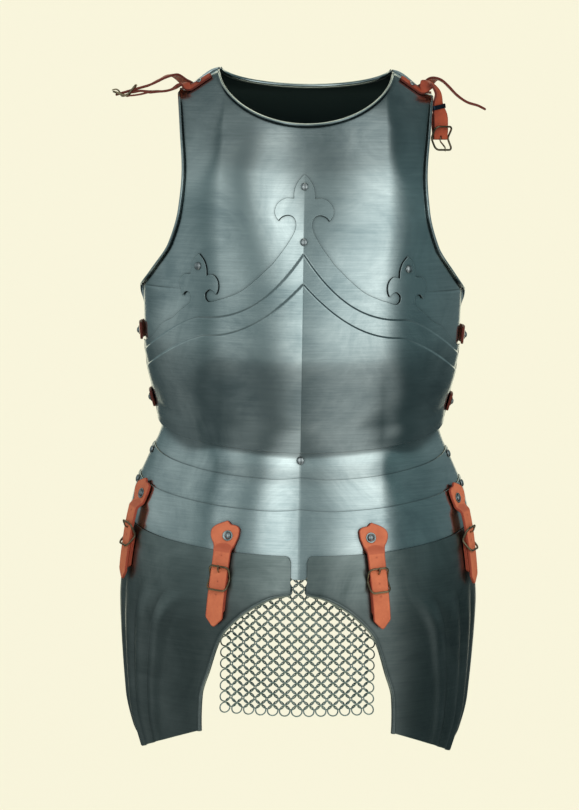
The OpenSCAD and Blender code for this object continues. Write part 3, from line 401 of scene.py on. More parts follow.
tan = hide("tan_leather", (0.60, 0.165, 0.075), (0.46, 0.11, 0.05), (0.3, 0.05, 0.025))
russet = hide("russet_leather", (0.38, 0.07, 0.028), (0.22, 0.035, 0.016), (0.12, 0.02, 0.012))
print("leathers: 2")

# %% [markdown]
# ## A piece and its body
#
# Every piece goes through one helper. It turns points and faces into a mesh in metres, puts the piece
# on the body that it rides on, gives it its material and hides the part of the model that it stands
# for. Leather that would bend between two bodies is given both, and is then only fixed in place. With
# one place for all this, nothing is forgotten.

# %% Making a piece
pieces = {}

def make(name, node, points, faces, material, body, normals=None, edge=None):
    """A piece from points in mm: it rides on one body, is only fixed in place when given two, and hides the node it
    replaces.
    """
    mesh = bpy.data.meshes.new(name)
    mesh.from_pydata((np.asarray(points) / 1000).tolist(), [], faces)
    mesh.materials.append(material)
    mesh.shade_smooth()
    if edge is not None:
        mesh.attributes.new("edge", "FLOAT", "POINT").data.foreach_set("value", np.asarray(edge, np.float32))
    if normals is not None:
        mesh.normals_split_custom_set_from_vertices(unit(np.asarray(normals)).tolist())
    piece = pieces[name] = bpy.data.objects.new(name, mesh)
    scene.collection.objects.link(piece)
    if isinstance(body, str):
        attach(piece, body)
    else:
        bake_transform(piece)
    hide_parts(node)
    return piece


# %% [markdown]
# ## Sheets with a rounded rim
#
# A plate is a grid of points with a normal at each. The builder lays an outer and an inner skin
# over the grid and closes them with a half-round rim, pulled in so that the plate keeps its size.
# The normals are worked out and stored, which keeps long reflections clean. An edge is rolled over
# by further rows of points on an arc, as a smith turns it over a wire.

# %% Sheet builders
def rim(skins, p, n, loop, out, thick, radius, start, flip):
    """Half-round rim along a loop: pulls both skins in there and gives the rings between them."""
    quarter = [(radius * sind(q) - radius, thick / 2 - radius + radius * cosd(q), q) for q in (0.0, 30.0, 60.0, 90.0)]
    rest = [(x, -z, 180 - q) for x, z, q in quarter[::-1]]
    line = quarter + (rest[1:] if np.all(radius >= thick / 2) else rest)
    rings = [p[loop] + out * x + n[loop] * z for x, z, q in line]
    ring_n = [n[loop] * cosd(q) + out * sind(q) for x, z, q in line]
    skins[0][loop], skins[1][loop] = rings[0], rings[-1]
    size = len(loop)
    names = np.array([loop] + [start + size * i + np.arange(size) for i in range(len(rings) - 2)] + [loop + len(p)])
    here, there = names[:-1], names[1:]
    corners = [here, np.roll(here, -1, 1), np.roll(there, -1, 1), there]
    faces = np.stack(corners if flip else [corners[i] for i in (0, 3, 2, 1)], 2).reshape(-1, 4).tolist()
    return rings[1:-1], ring_n[1:-1], faces

def grid_normals(p):
    return unit(np.cross(np.gradient(p, axis=0), np.gradient(p, axis=1)))

def sheet(name, node, p, material, body, bare=None):
    """Plate over a grid of points. Its inside is marked as dull, except where `bare` is true."""
    rows, cols = p.shape[:2]
    n, p = grid_normals(p).reshape(-1, 3), p.reshape(-1, 3)
    index = np.arange(rows * cols).reshape(rows, cols)
    loop = np.concatenate([index[0, :-1], index[:-1, -1], index[-1, :0:-1], index[:0:-1, 0]])
    out = unit(np.cross(n[loop], np.roll(p[loop], -1, 0) - np.roll(p[loop], 1, 0)))
    skins, count = [p + n * PLATE_T / 2, p - n * PLATE_T / 2], rows * cols
    rings, ring_n, rim_faces = rim(skins, p, n, loop, out, PLATE_T, PLATE_T / 2, 2 * count, True)
    points = np.concatenate(skins + rings)
    a, b, c, d = (index[:-1, :-1].ravel(), index[1:, :-1].ravel(), index[1:, 1:].ravel(), index[:-1, 1:].ravel())
    faces = np.stack([a, b, c, d], 1).tolist() + (np.stack([a, d, c, b], 1) + count).tolist() + rim_faces
    hidden = np.zeros(len(points))
    hidden[count:2 * count] = 1 if bare is None else ~bare.ravel()
    return make(name, node, points, faces, material, body, np.concatenate([n, -n] + ring_n), hidden)

def curl(p, amounts, side, radius, steps=12, sweep=205):
    """Rolls the first row over: `amounts` says how far each point of it turns, from 0 to 1."""
    n = side * grid_normals(p)[0]
    c = unit(np.cross(n, unit(np.gradient(p[0], axis=0))))
    t = np.where((c * (p[0] - p[1])).sum(-1, keepdims=True) < 0, -c, c)
    rows = []
    for k in range(steps, 0, -1):
        q = np.radians(sweep * k / steps * np.maximum(amounts, 0.03))[:, None]
        rows.append(p[0] + radius * (t * np.sin(q) + n * (1 - np.cos(q))))
    return np.concatenate([np.array(rows), p])

def turned(p):
    return np.swapaxes(p, 0, 1)

print("normal of a level square:", grid_normals(np.array([[[0.0, 0, 0], [0, 1, 0]], [[1, 0, 0], [1, 1, 0]]]))[0, 0])

# %% [markdown]
# ## Breastplate and backplate
#
# Each is one raised sheet. Its rows run from the neck to the flange under the waist and its columns
# from arm to arm, and neck and arm edges are rolled outward over a wire. The same rows and columns
# as on the drawing are taken here a tenth of a step apart.

# %% Breastplate and backplate
NECK_COLS, HALF_COLS, UPPER_ROWS = 8, 12, 9
ROLL_R, ROLL_STEPS, BACK_SPACE = 1.9, 12, 2.1
LAME_RISE, LAME_LAP = 10.0, 12.0

def lame_top(i):
    return WAIST + LAME_RISE - (i - 1) * LAME_STEP

FLANGE = lame_top(1) - LAME_STEP
lower_s = ([mix(ARMPIT, lame_top(1), t) for t in (0.2, 0.4, 0.6, 0.8, 0.92)]
           + [lame_top(1), lame_top(1) - LAME_LAP, (lame_top(1) - LAME_LAP + FLANGE) / 2, FLANGE])

def plate_grid(place, drop, reach, out):
    k, r = np.meshgrid(np.linspace(-HALF_COLS, HALF_COLS, 241), np.linspace(0, UPPER_ROWS + 9, 181))
    ak, across = np.abs(k), NECK_W / SHOULDER_W
    outer = ease((ak - NECK_COLS) / 4)
    neck = np.minimum(ak, NECK_COLS) / NECK_COLS
    top_u = np.where(ak <= NECK_COLS, across * sind(90 * neck), mix(across, 1, (ak - NECK_COLS) / 4))
    top_s = np.where(ak <= NECK_COLS, SHOULDER - (drop + SHOULDER) * cosd(90 * neck), SHOULDER - FALL * outer)
    s = np.where(r <= UPPER_ROWS,
                 mix(top_s, ARMPIT, 0.55 * ease(r / UPPER_ROWS) + 0.45 * np.minimum(r / UPPER_ROWS, 1)),
                 np.interp(r - UPPER_ROWS, range(10), [ARMPIT] + lower_s))
    w = curve(s, half_widths)
    h = np.where(s > ARMPIT, curve(s, arm_widths), w)
    t = np.clip(r / UPPER_ROWS, 0, 1)
    limit = np.degrees(np.arcsin(np.minimum(1, h / w))) + reach * np.clip(r - UPPER_ROWS, 0, 1)
    a = mix(np.degrees(np.arcsin(np.minimum(1, top_u * h / w))), limit * ak / HALF_COLS, ease(t)) * np.sign(k)
    p = place(a, s, out)
    return p if place is front else p[:, ::-1], np.abs(k[0]), r[:, 0]

def plate(name, node, grid, last, body):
    p, columns, rows = grid
    p = curl(p, 1 - ease((columns - NECK_COLS + 1.2) / 1.5), 1, ROLL_R)
    arms = np.concatenate([np.zeros(ROLL_STEPS), ease(rows) * (1 - ease(rows - last))])
    p = turned(curl(turned(p), arms, -1, ROLL_R))
    p = turned(curl(turned(p)[::-1], arms, 1, ROLL_R)[::-1])
    bare = np.zeros(p.shape[:2], bool)
    bare[:ROLL_STEPS + 1] = bare[:, :ROLL_STEPS + 1] = bare[:, -ROLL_STEPS - 1:] = True
    return sheet(name, node, p, steel, body, bare)

breast = plate("breastplate_skin", "breastplate", plate_grid(front, 55, 0, 0), UPPER_ROWS, "torso_front")
plate("backplate_skin", "backplate", plate_grid(back, 10, 3, -BACK_SPACE), UPPER_ROWS - 1, "torso_back")
print("breastplate points:", len(breast.data.vertices))

# %% [markdown]
# ## Lames
#
# The fauld and the culet are three lames each, plain strips that widen towards the hem. Every lame
# lies outside the one above. The second and third have a small cusp in the middle of their upper
# edge, and the last one ends in a tab between the tassets.

# %% Fauld and culet
def lame_rows(i):
    top = lame_top(i)
    foot = top - LAME_STEP - LAME_LAP if i < 3 else HEM
    return [top, top - LAME_LAP, (top + foot) / 2, foot + LAME_LAP, foot]

fauld_bodies = {1: "torso_front", 2: "fauld_middle", 3: "fauld_low"}
culet_bodies = {1: "torso_back", 2: "culet_middle", 3: "culet_low"}
r, a = np.meshgrid(np.linspace(0, 4, 37), np.linspace(-89, 89, 357), indexing="ij")
cusp = 3 * np.maximum(0, 1 - np.abs(a) / 12) ** 1.5 - 2
tab = 12 * (1 - ease((np.abs(HIP_R * sind(a)) - 7) / 6))
for i in (1, 2, 3):
    plain = np.interp(r, range(5), lame_rows(i))
    s = plain + (np.clip(1 - r, 0, 1) * cusp if i > 1 else 0) - (np.clip(r - 3, 0, 1) * tab if i == 3 else 0)
    sheet(f"fauld_{i}", f"fauld_lame_{i}", front(a, s, i * LAYER), steel, fauld_bodies[i])
    sheet(f"culet_{i}", f"culet_lame_{i}", back(a, plain, (i - 1) * LAYER)[:, ::-1], steel, culet_bodies[i])
print("lame feet:", [lame_rows(i)[-1] for i in (1, 2, 3)])

# %% [markdown]
# ## Tassets
#
# Two leaf-shaped plates hang from the fauld over the thighs. The inner edge rises in an arch and is
# rolled, and low flutes run down the face, sharp in the grooves and round on the ridges.

# %% Tassets
TOP = HEM + 14 - DIP
arch = [(-260, 106), (-197, 105.5), (-161, 103), (-131, 94), (-92, 81), (-74, 67.5), (-56, 47), (-44, 24),
        (-40, 9), (0, 9)]

v, u = np.meshgrid(np.linspace(0, 1, 181), np.linspace(0, 1, 225), indexing="ij")
foot = -240 + 38 * np.clip(1 - u / 0.72, 0, 1) ** 1.1 + 30 * ease((u - 0.75) / 0.25)
corner = 6 * (1 - np.sqrt(1 - np.clip(1 - 290 * u / 6, 0, 1) ** 2))
z = TOP + foot * v + DIP * (1 - cosd(88 * u)) * (1 - v) - corner * (1 - v) ** 30
a = mix(np.degrees(np.arcsin(curve(z - TOP, arch) / HIP_R)), 88, u)
flute = 3 * ease((v - 0.2) / 0.2) * ease((u - 0.3) / 0.12) * np.abs(sind(180 * 4 * (u - 0.3) / 0.7))
p = front(a, z + DIP * cosd(a), 4 * LAYER + flute)
ARCH_STEPS = 14
p = turned(curl(turned(p), ease((v[:, 0] * 15 - 2) / 1.5), -1, 2.4, ARCH_STEPS))
bare = np.zeros(p.shape[:2], bool)
bare[:, :ARCH_STEPS + 1] = True
sheet("tasset_left_skin", "tasset_left", (p * [-1, 1, 1])[:, ::-1], tasset_steel, "left_tasset", bare[:, ::-1])
sheet("tasset_right_skin", "tasset_right", p, tasset_steel, "right_tasset", bare)
print("tasset top at", TOP)

# %% [markdown]
# ## Sheets cut to an outline
#
# The plackart and the straps are cut to a drawn outline. The outline is laid out flat, filled with
# evenly spaced points, triangulated with the outline as fixed edges, and then carried onto the
# body. Holes are further fixed edges, and their inside is thrown away.

# %% Outline cutter
def resampled(loop, step):
    loop = np.asarray(loop, float)
    close = np.vstack([loop, loop[:1]])
    part = np.linalg.norm(np.diff(close, axis=0), axis=1)
    points = []
    for a, b, d in zip(close[:-1], close[1:], part):
        n = max(1, int(round(d / step)))
        points += [a + (b - a) * i / n for i in range(n)]
    return np.array(points)

def inside(points, loop):
    x, y = points[:, 0], points[:, 1]
    hit = np.zeros(len(points), bool)
    for (ax, ay), (bx, by) in zip(loop, np.roll(loop, -1, 0)):
        if ay != by:
            cross = (ay > y) != (by > y)
            hit ^= cross & (x < (bx - ax) * (y - ay) / (by - ay) + ax)
    return hit

def far_from(points, loop, gap):
    keep = np.ones(len(points), bool)
    for q in loop:
        keep &= ((points - q) ** 2).sum(1) > gap * gap
    return keep

def cut_sheet(name, node, outline, holes, fill, place, thick, radius, material, body, gap, tone_mask=None):
    """Fills an outline with holes, carries it onto `place` and gives it two skins and a round rim."""
    loops = [outline] + holes
    for loop in loops:
        fill = fill[far_from(fill, loop, gap)]
    fill = fill[inside(fill, outline)]
    for hole in holes:
        fill = fill[~inside(fill, hole)]
    flat = np.vstack(loops + [fill])
    starts = np.cumsum([0] + [len(loop) for loop in loops])
    edges = [(a + k, a + (k + 1) % (b - a)) for a, b in zip(starts[:-1], starts[1:]) for k in range(b - a)]
    cdt = delaunay_2d_cdt([Vector(q) for q in flat], edges, [], 0, 1e-7)
    source = [min(o) for o in cdt[3]]
    triangles = np.array([[source[i] for i in f] for f in cdt[2]])
    middle = flat[triangles].mean(1)
    keep = inside(middle, outline)
    for hole in holes:
        keep &= ~inside(middle, hole)
    triangles = triangles[keep]
    q = flat[triangles]
    turn = np.cross(q[:, 1] - q[:, 0], q[:, 2] - q[:, 0])
    triangles[turn < 0] = triangles[turn < 0][:, ::-1]
    p, n = place(flat[:, 0], flat[:, 1])
    count = len(flat)
    thick = np.broadcast_to(thick(flat[:, 1])[:, None] if callable(thick) else thick, (count, 1))
    skins = [p + n * thick / 2, p - n * thick / 2]
    leather = "leather" in material.name
    darkening = np.zeros(count) if tone_mask is None else tone_mask(flat[:, 0], flat[:, 1])
    edge = [np.concatenate([darkening, darkening if leather else np.ones(count)])]
    faces = triangles.tolist() + (triangles[:, ::-1] + count).tolist()
    points, normals, total = [], [n, -n], 2 * count
    for a, b in zip(starts[:-1], starts[1:]):
        loop = np.arange(a, b)
        out = unit(np.cross(np.roll(p[loop], -1, 0) - np.roll(p[loop], 1, 0), n[loop]))
        rings, ring_n, rim_faces = rim(skins, p, n, loop, out, thick[loop], radius, total, False)
        if leather:
            edge[0][loop] = edge[0][loop + count] = 0.35
        added = len(loop) * len(rings)
        # Leather rims are burnished darker. The plackart's steel rim gets half of the dark inside tone, which is
        # painted shade along its raised outline.
        edge.append(np.full(added, 1.0 if leather else 0.5))
        total += added
        points += rings
        normals += ring_n
        faces += rim_faces
    return make(name, node, np.vstack(skins + points), faces, material, body, np.vstack(normals),
                np.concatenate(edge))

print("cutter ready")

# %% [markdown]
# ## Plackart
#
# The second plate covers the lower breast. Its upper edge is cut as three fleurs-de-lis joined by
# two sweeping curves, and two embossed steps follow below it. The steps are ramps 2.4 mm wide that
# keep their width however steep the line runs, which a smith gets with a set hammer.

# %% Plackart
EDGE_CUSP = ARMPIT - 12
PLACKART_OUT, STEP_H, STEP_W = LAYER + 0.5, 1.5, 2.4
ARC = 2.9
SIDE_U = 89 * ARC
# each step line: height in the middle, x and height of its cusps, height at the sides, bend
STEP_LINES = [(ARMPIT + 43, 112, EDGE_CUSP - 17, ARMPIT - 75, 2.4),
              (ARMPIT + 11, 104, EDGE_CUSP - 36.5, ARMPIT - 93, 2)]

def step_line(x, apex, cusp, cusp_s, side_s, bend):
    ax = np.abs(x)
    return np.where(ax < cusp, cusp_s + (apex - cusp_s) * np.maximum(0, 1 - ax / cusp) ** bend,
                    cusp_s + (side_s - cusp_s) * np.clip((ax - cusp) / (CHEST_R - cusp), 0, 1) ** 1.4)

def lean_of(x, line):
    return step_line(x + 0.5, *line) - step_line(x - 0.5, *line)

def flare(s):
    return LAYER * ease((WAIST + 30 - s) / 18)

def undipped(z, c):
    return z + DIP * c * ease((ARMPIT - z) / (ARMPIT - WAIST + DIP * c))

def plackart_point(a, z):
    x = curve(np.array(ARMPIT - 30), half_widths) * sind(a)
    out = PLACKART_OUT
    for line in STEP_LINES:
        out = out + STEP_H * ease(0.5 + (step_line(x, *line) - z) / np.sqrt(1 + lean_of(x, line) ** 2) / STEP_W)
    s = undipped(z, cosd(a))
    p = front(a, s, out + flare(s))
    return np.stack([p[..., 0], p[..., 1], z + 0 * a], -1)

def plackart_map(u, z):
    a = u / ARC
    n = unit(np.cross(plackart_point(a + 0.1, z) - plackart_point(a - 0.1, z),
                      plackart_point(a, z + 0.3) - plackart_point(a, z - 0.3)))
    return plackart_point(a, z), n

print("height of the steps in mm:", len(STEP_LINES) * STEP_H)


# %% [markdown]
# The fleurs-de-lis are drawn as points, one half of the middle flower and one whole side flower with
# the sweep between them. A smooth path goes through them and keeps a few corners sharp, where a
# file would have cut in. Only the right half is drawn, and the left one is its mirror image.

# %% Half outline of the plackart
def rounded_path(points, sharp, step=1.0):
    p = np.array(points, float)
    tangents = np.zeros_like(p)
    tangents[1:-1] = p[2:] - p[:-2]
    tangents[0], tangents[-1] = p[1] - p[0], p[-1] - p[-2]
    result = []
    for i in range(len(p) - 1):
        d = np.linalg.norm(p[i + 1] - p[i])
        ta = p[i + 1] - p[i] if i in sharp else tangents[i] / max(np.linalg.norm(tangents[i]), 1e-9) * d
        tb = p[i + 1] - p[i] if i + 1 in sharp else tangents[i + 1] / max(np.linalg.norm(tangents[i + 1]), 1e-9) * d
        for t in np.arange(0, 1, min(1, step / d)):
            result.append(p[i] * (2 * t ** 3 - 3 * t ** 2 + 1) + ta * (t ** 3 - 2 * t ** 2 + t)
                          + p[i + 1] * (3 * t ** 2 - 2 * t ** 3) + tb * (t ** 3 - t ** 2))
    return result + [p[-1]]

leaf = [(0, 16.6), (4.7, 11.8), (9.3, 4.9), (11.4, -2.8), (11.7, -9.3), (11.4, -10.2), (19.7, -9.7), (26.6, -13),
        (31, -18.2), (32.6, -25.2), (31, -30.8), (28, -34.7), (24.6, -30.8), (19.7, -28.7), (15.5, -28.7),
        (11.4, -31.2), (9.3, -35.7), (9.2, -41.3), (11.4, -48.3), (19.7, -62.3), (33.6, -81.2)]
swing = [(33.6, -204.2), (50, -220.5), (67, -234.6), (81, -241.5), (94, -246), (103, -248.5), (107, -246),
         (107.9, -240.6), (106.6, -237.8), (103, -235.3), (98.9, -237), (96, -240.6), (94, -236.4), (93.3, -229.4),
         (95.4, -222.5), (100.3, -218.3), (106.6, -219.7), (107.2, -211.3), (110, -203), (115.6, -195.7),
         (122, -203), (124, -212.7), (124.6, -218.3), (132.3, -219.7), (136.6, -225.2), (136.6, -233),
         (133.4, -243.4), (130.2, -239), (126.6, -239), (124.2, -243.4), (124.6, -249), (128, -253), (135, -258.7),
         (144.6, -268.4), (156, -275.4), (172, -296), (181, -300)]
right_half = (rounded_path([(x, z - 123) for x, z in leaf], {0, 5, 11, 20})[:-1]
              + rounded_path(swing, {0, 11, 16, 19, 22, 26, 36}))

print("points in half the outline:", len(right_half))


# %% [markdown]
# The outline is known as it looks from the front, so each point is first carried round the body to
# the length of arc where it lies. Upright lines of points then fill it. The points lie close together
# across the two steps and wide apart elsewhere, because only a crisp step needs many of them.

# %% Cutting and embossing the plackart
def to_arc(x, z):
    a = np.zeros_like(x)
    for _ in range(6):
        a = np.degrees(np.arcsin(np.clip(x / (curve(undipped(z, cosd(a)), half_widths) + PLACKART_OUT), -1, 1)))
    return a * ARC

half = np.array(right_half)
half = np.stack([np.minimum(to_arc(half[:, 0], half[:, 1]), SIDE_U), half[:, 1]], 1)
half = half[half[:, 0] < SIDE_U - 0.3]
foot_u = np.linspace(SIDE_U, -SIDE_U, 261)
foot_z = WAIST - DIP * cosd(foot_u / ARC) + 4
top_edge = half[::-1].tolist() + [[-u, z] for u, z in half[1:]]
outline = np.array(top_edge + [[-SIDE_U, -300]] + np.stack([foot_u, foot_z], 1)[::-1].tolist() + [[SIDE_U, -300]])
lines = []
for u in np.arange(-88.6, 88.61, 0.4) * ARC:
    turn = math.radians(u / ARC)
    x = float(curve(np.array(ARMPIT - 30), half_widths)) * math.sin(turn)
    upper, lower = (float(step_line(x, *line)) for line in STEP_LINES)
    ridge = np.linspace(-1.4, 1.4, 9) * max(1.0, float(np.hypot(1, lean_of(x, STEP_LINES[0]))))
    zs = np.concatenate([np.arange(-100, upper + 2.4, -2.2), upper - ridge, np.arange(upper - 3.4, lower + 2.4, -2.2),
                         lower - ridge, np.arange(lower - 3.4, WAIST - DIP * math.cos(turn) + 4, -2.2)])
    lines.append(np.stack([np.full_like(zs, u), zs], 1))
plackart = cut_sheet("plackart_skin", "plackart", outline, [], np.vstack(lines), plackart_map, PLATE_T, PLATE_T / 2,
                     plackart_steel, "torso_front", 0.6)
print("plackart points:", len(plackart.data.vertices))

# %% [markdown]
# ## Small parts
#
# Rivets, washers, buckles and prongs are made once in axes of their own and then stood on a plate or
# a strap: Z along the normal, Y up the strap. A turned part is a profile spun round Z, and a bar is a
# round section carried along a line, with rounded ends.

# %% Turned parts and bars
def stood(part, p, n, up):
    x = unit(np.cross(up, n))
    return part[0] @ np.stack([x, unit(np.cross(n, x)), n]) + p, part[1]

def mirror(part):
    return part[0] * [-1, 1, 1], [face[::-1] for face in part[1]]

def sided(parts, side):
    return [mirror(q) for q in parts] if side < 0 else parts

def both(parts):
    return parts + sided(parts, -1)

def tubes(rings, closed):
    rows, sides = len(rings), len(rings[0])
    faces = []
    for i in range(rows if closed else rows - 1):
        a, b = i * sides, (i + 1) % rows * sides
        faces += [(a + k, b + k, b + (k + 1) % sides, a + (k + 1) % sides) for k in range(sides)]
    if not closed:
        faces += [tuple(range(sides)), tuple(range(rows * sides - 1, (rows - 1) * sides - 1, -1))]
    return np.reshape(rings, (-1, 3)), faces

def spun(profile, sides=36):
    q = np.linspace(360, 0, sides, endpoint=False)
    return tubes([np.stack([r * cosd(q), r * sind(q), z + 0 * q], 1) for r, z in profile], False)

def bar(path, radius, closed=False, sides=12, up=(0, 0, 1), flat=1.0):
    """Round bar along a path. An open bar gets domed ends, in four smaller rings each."""
    path = np.asarray(path, float)
    radius = np.broadcast_to(np.asarray(radius, float), (len(path),))
    if closed:
        way = unit(np.roll(path, -1, 0) - np.roll(path, 1, 0))
    else:
        way = unit(np.gradient(path, axis=0))
        q = np.array([82.0, 60, 40, 20])
        head = path[0] - way[0] * (radius[0] * sind(q))[:, None]
        foot = path[-1] + way[-1] * (radius[-1] * sind(q[::-1]))[:, None]
        path = np.vstack([head, path, foot])
        radius = np.concatenate([radius[0] * cosd(q), radius, radius[-1] * cosd(q[::-1])])
        way = np.vstack([np.tile(way[0], (4, 1)), way, np.tile(way[-1], (4, 1))])
    side = unit(np.cross(way, up))
    top = np.cross(side, way)
    a = np.linspace(0, 360, sides, endpoint=False)
    rings = [c + r * (np.outer(cosd(a), sx) + flat * np.outer(sind(a), tx))
             for c, r, sx, tx in zip(path, radius, side, top)]
    return tubes(rings, closed)

def put(name, node, parts, material, body):
    """One piece made of several parts."""
    points, faces = [], []
    for p, part_faces in parts:
        start = sum(len(q) for q in points)
        points.append(p)
        faces += [tuple(v + start for v in face) for face in part_faces]
    return make(name, node, np.vstack(points), faces, material, body)

print("bar faces:", len(bar([(0, 0, 0), (0, 0, 5)], 1)[1]))

# %% [markdown]
# ## Rivets
#
# A rivet head is a low dome with a small upright foot. Where it goes through leather it sits in a
# dished washer. The side rivets of the lames slide in slots in a real harness, so they stand a
# little proud of the plate.

# %% Rivets
def dome(d, h, base=0.0):
    r, foot = d / 2, 0.35
    cap = [(r * math.cos(t), base + foot + (h - foot) * math.sin(t)) for t in np.linspace(0, 1.52, 11)]
    return spun([(0.02, base), (r - 0.25, base), (r, base + 0.15)] + cap)

def washer(d):
    r = d / 2
    return spun([(0.02, 0.05), (r - 0.3, 0), (r, 0.2), (r, 0.6), (r - 0.25, 0.85), (r - 0.7, 0.95), (r - 1.3, 0.75),
                 (r - 1.7, 0.55), (0.02, 0.5)])

def on_plate(part, place, a, s, out):
    n = surface_normal(place, a, s)
    return stood(part, place(a, s) + n * out, n, (0, 0, 1))

def angle_at(x, s):
    """Angle round the body at which its surface is x from the middle, at the height s."""
    return math.degrees(math.asin(x / float(curve(np.array(s), half_widths))))

RIVET_GAP, RIVET, SIDE_RIVET_A = 0.3, dome(9, 2.4), 84
PROUD = PLATE_T / 2 + RIVET_GAP
marks = [(0, ARMPIT + 114), (0, ARMPIT + 54), (-115, ARMPIT + 25), (115, ARMPIT + 25)]
put("plackart_rivet_heads", "plackart_rivets",
    [on_plate(dome(8.4, 2.3), front, angle_at(x, z), z + 2, PLACKART_OUT + PROUD) for x, z in marks],
    rivet_steel, "torso_front")
for i in (1, 2, 3):
    level = lame_top(i) - 9
    heads = both([on_plate(RIVET, front, SIDE_RIVET_A, level, i * LAYER + PROUD)])
    if i == 1:
        heads.append(on_plate(RIVET, front, 0, WAIST - 5, LAYER + PLATE_T / 2 + 2.5 * RIVET_GAP))
    put(f"fauld_rivet_heads_{i}", f"fauld_rivets_{i}", heads, rivet_steel, fauld_bodies[i])
    put(f"culet_rivet_heads_{i}", f"culet_rivets_{i}",
        both([on_plate(RIVET, back, SIDE_RIVET_A, level, (i - 1) * LAYER + PROUD)]), rivet_steel, culet_bodies[i])
print("rivet heads:", len([n for n in pieces if "rivet" in n]), "pieces")

# %% [markdown]
# ## Straps along a line
#
# A strap is a flat outline in two numbers, across and along, carried onto a smooth line that has a
# normal at every point. The same cutter as for the plackart fills it, so that rims are rounded and
# holes are real. Leather is skived where it folds, so its thickness may change along the line.

# %% Strap builder
STRAP_T, STRAP_W, GAP, PITCH = 3.0, 20.0, 0.4, 14.5
BAR_LIFT, BAR_Y, PRONG_Y = 4.13, 13.1, 6.8
PRONG_HOLE, SLOT_R, SLOT_HALF = 1.75, 1.5, 4.1
# leather is pared to SKIVED at a fold and stays so for FOLD_HALF to either side of it
SKIVED, FOLD_HALF = 0.78, 3.5

def through(x, at, values):
    """Smooth line through `values`, which stand at the lengths `at`."""
    h = np.diff(at)
    d = np.diff(values, axis=0) / h[:, None]
    m = np.vstack([d[:1], (d[:-1] * h[1:, None] + d[1:] * h[:-1, None]) / (h[:-1] + h[1:])[:, None], d[-1:]])
    i = np.clip(np.searchsorted(at, x, side="right") - 1, 0, len(at) - 2)
    u, k = ((x - at[i]) / h[i])[:, None], h[i][:, None]
    return hermite(u, values[i], values[i + 1], k * m[i], k * m[i + 1])

def line_place(points, normals):
    """Map from across and along to the line's points and normals, and the length up to each point."""
    p, n = np.array(points, float), unit(np.array(normals, float))
    at = lengths(p)

    def place(u, v):
        way = unit(through(v + 0.4, at, p) - through(v - 0.4, at, p))
        across = unit(np.cross(way, through(v, at, n)))
        return through(v, at, p) + across * u[:, None], unit(np.cross(across, way))
    return place, at

def round_hole(v, r):
    q = np.linspace(0, 360, 18, endpoint=False)
    return np.stack([r * cosd(q), v + r * sind(q)], 1)

def bar_slot(bend):
    """Slot at the fold, through which the buckle's prong comes out."""
    turns = np.linspace(0.01, 2 * math.pi + 0.01, 21)[:-1]
    return resampled([(SLOT_R * math.cos(t), bend + math.copysign(SLOT_HALF, math.sin(t)) + SLOT_R * math.sin(t))
                      for t in turns], 0.8)

def strap(name, node, place, right, holes, body, material, left=None, thick=STRAP_T, radius=0.8, tone_mask=None,
          step=1.3):
    left = left or [(-u, v) for u, v in right]
    outline = resampled(np.array(right + left[::-1]), step)
    low, high = outline.min(0), outline.max(0)
    u, v = np.meshgrid(np.arange(low[0], high[0], step), np.arange(low[1], high[1], step))
    fill = np.stack([u.ravel() + 0.013, v.ravel() + 0.017], 1)
    return cut_sheet(name, node, outline, holes, fill, place, thick, radius, material, body, 0.75 * step, tone_mask)

print("bar slot points:", len(bar_slot(0)))

# %% [markdown]
# ## Buckles
#
# All buckles are centre-bar buckles: a rounded frame bent like a shallow V, a straight bar across
# its middle, and a prong that turns on the bar. The prong goes up through a hole of the strap and
# rests on the far side of the frame. Leather folded round the bar holds the buckle.

# %% Buckles
def frame_path(half_w=11.45, half_l=BAR_Y, corner=4.4):
    q = np.linspace(0, 90, 9)
    quarter = np.stack([half_w - corner + corner * cosd(q), half_l - corner + corner * sind(q)], 1)
    long = np.stack([np.full(8, half_w), np.linspace(0, half_l - corner, 9)[:-1]], 1)
    wide = np.stack([np.linspace(half_w - corner, 0, 7)[1:], np.full(6, half_l)], 1)
    part = np.vstack([long, quarter, wide])
    half = np.vstack([part, (part * [-1, 1])[:-1][::-1]])
    loop = np.vstack([half, (half * [1, -1])[1:-1][::-1]])
    z = -BAR_LIFT + 2 * BAR_LIFT / BAR_Y * (np.sqrt(loop[:, 1] ** 2 + 4) - 2) * BAR_Y / (math.hypot(BAR_Y, 2) - 2)
    return np.column_stack([loop, z])

BAR_R, FRAME_R, BAR_HALF, EYE_R = 1.05, 1.15, 11.3, 1.5
loop = frame_path()
buckle = [bar(loop, FRAME_R, closed=True),
          bar([(x, 0, -BAR_LIFT) for x in np.linspace(-BAR_HALF, BAR_HALF, 9)], BAR_R)]
eye = [(0, EYE_R * math.sin(t), -BAR_LIFT + EYE_R * math.cos(t)) for t in np.linspace(0, 2 * math.pi, 25)[:-1]]

def prong_parts(line, radii):
    """Eye round the bar, and a tapered pin through points (y, z)."""
    at = np.arange(len(line))
    t = np.linspace(0, len(line) - 1, 6 * len(line))
    path = through(t, at, np.array([(0, y, z) for y, z in line], float))
    return [bar(eye, 0.38, closed=True, sides=10, up=(1, 0, 0), flat=2.6),
            bar(path, np.interp(t, at, radii), up=(1, 0, 0))]

prong = prong_parts([(1.7, -4.1), (3.9, -3.9), (5.6, -3.3), (6.5, -1.6), (6.9, 1.4), (8, 4.2), (10, 5.95),
                     (12.4, 6.4), (14.3, 6.35)], [0.7, 0.85, 0.9, 0.9, 0.9, 0.9, 0.85, 0.75, 0.6])
open_prong = prong_parts([(1.7, -4.1), (4.4, -2.2), (7.4, 2.2), (10.2, 5.7), (12.4, 6.4), (14.3, 6.35)],
                         [0.7, 0.85, 0.9, 0.85, 0.75, 0.6])
print("frame points:", len(loop))
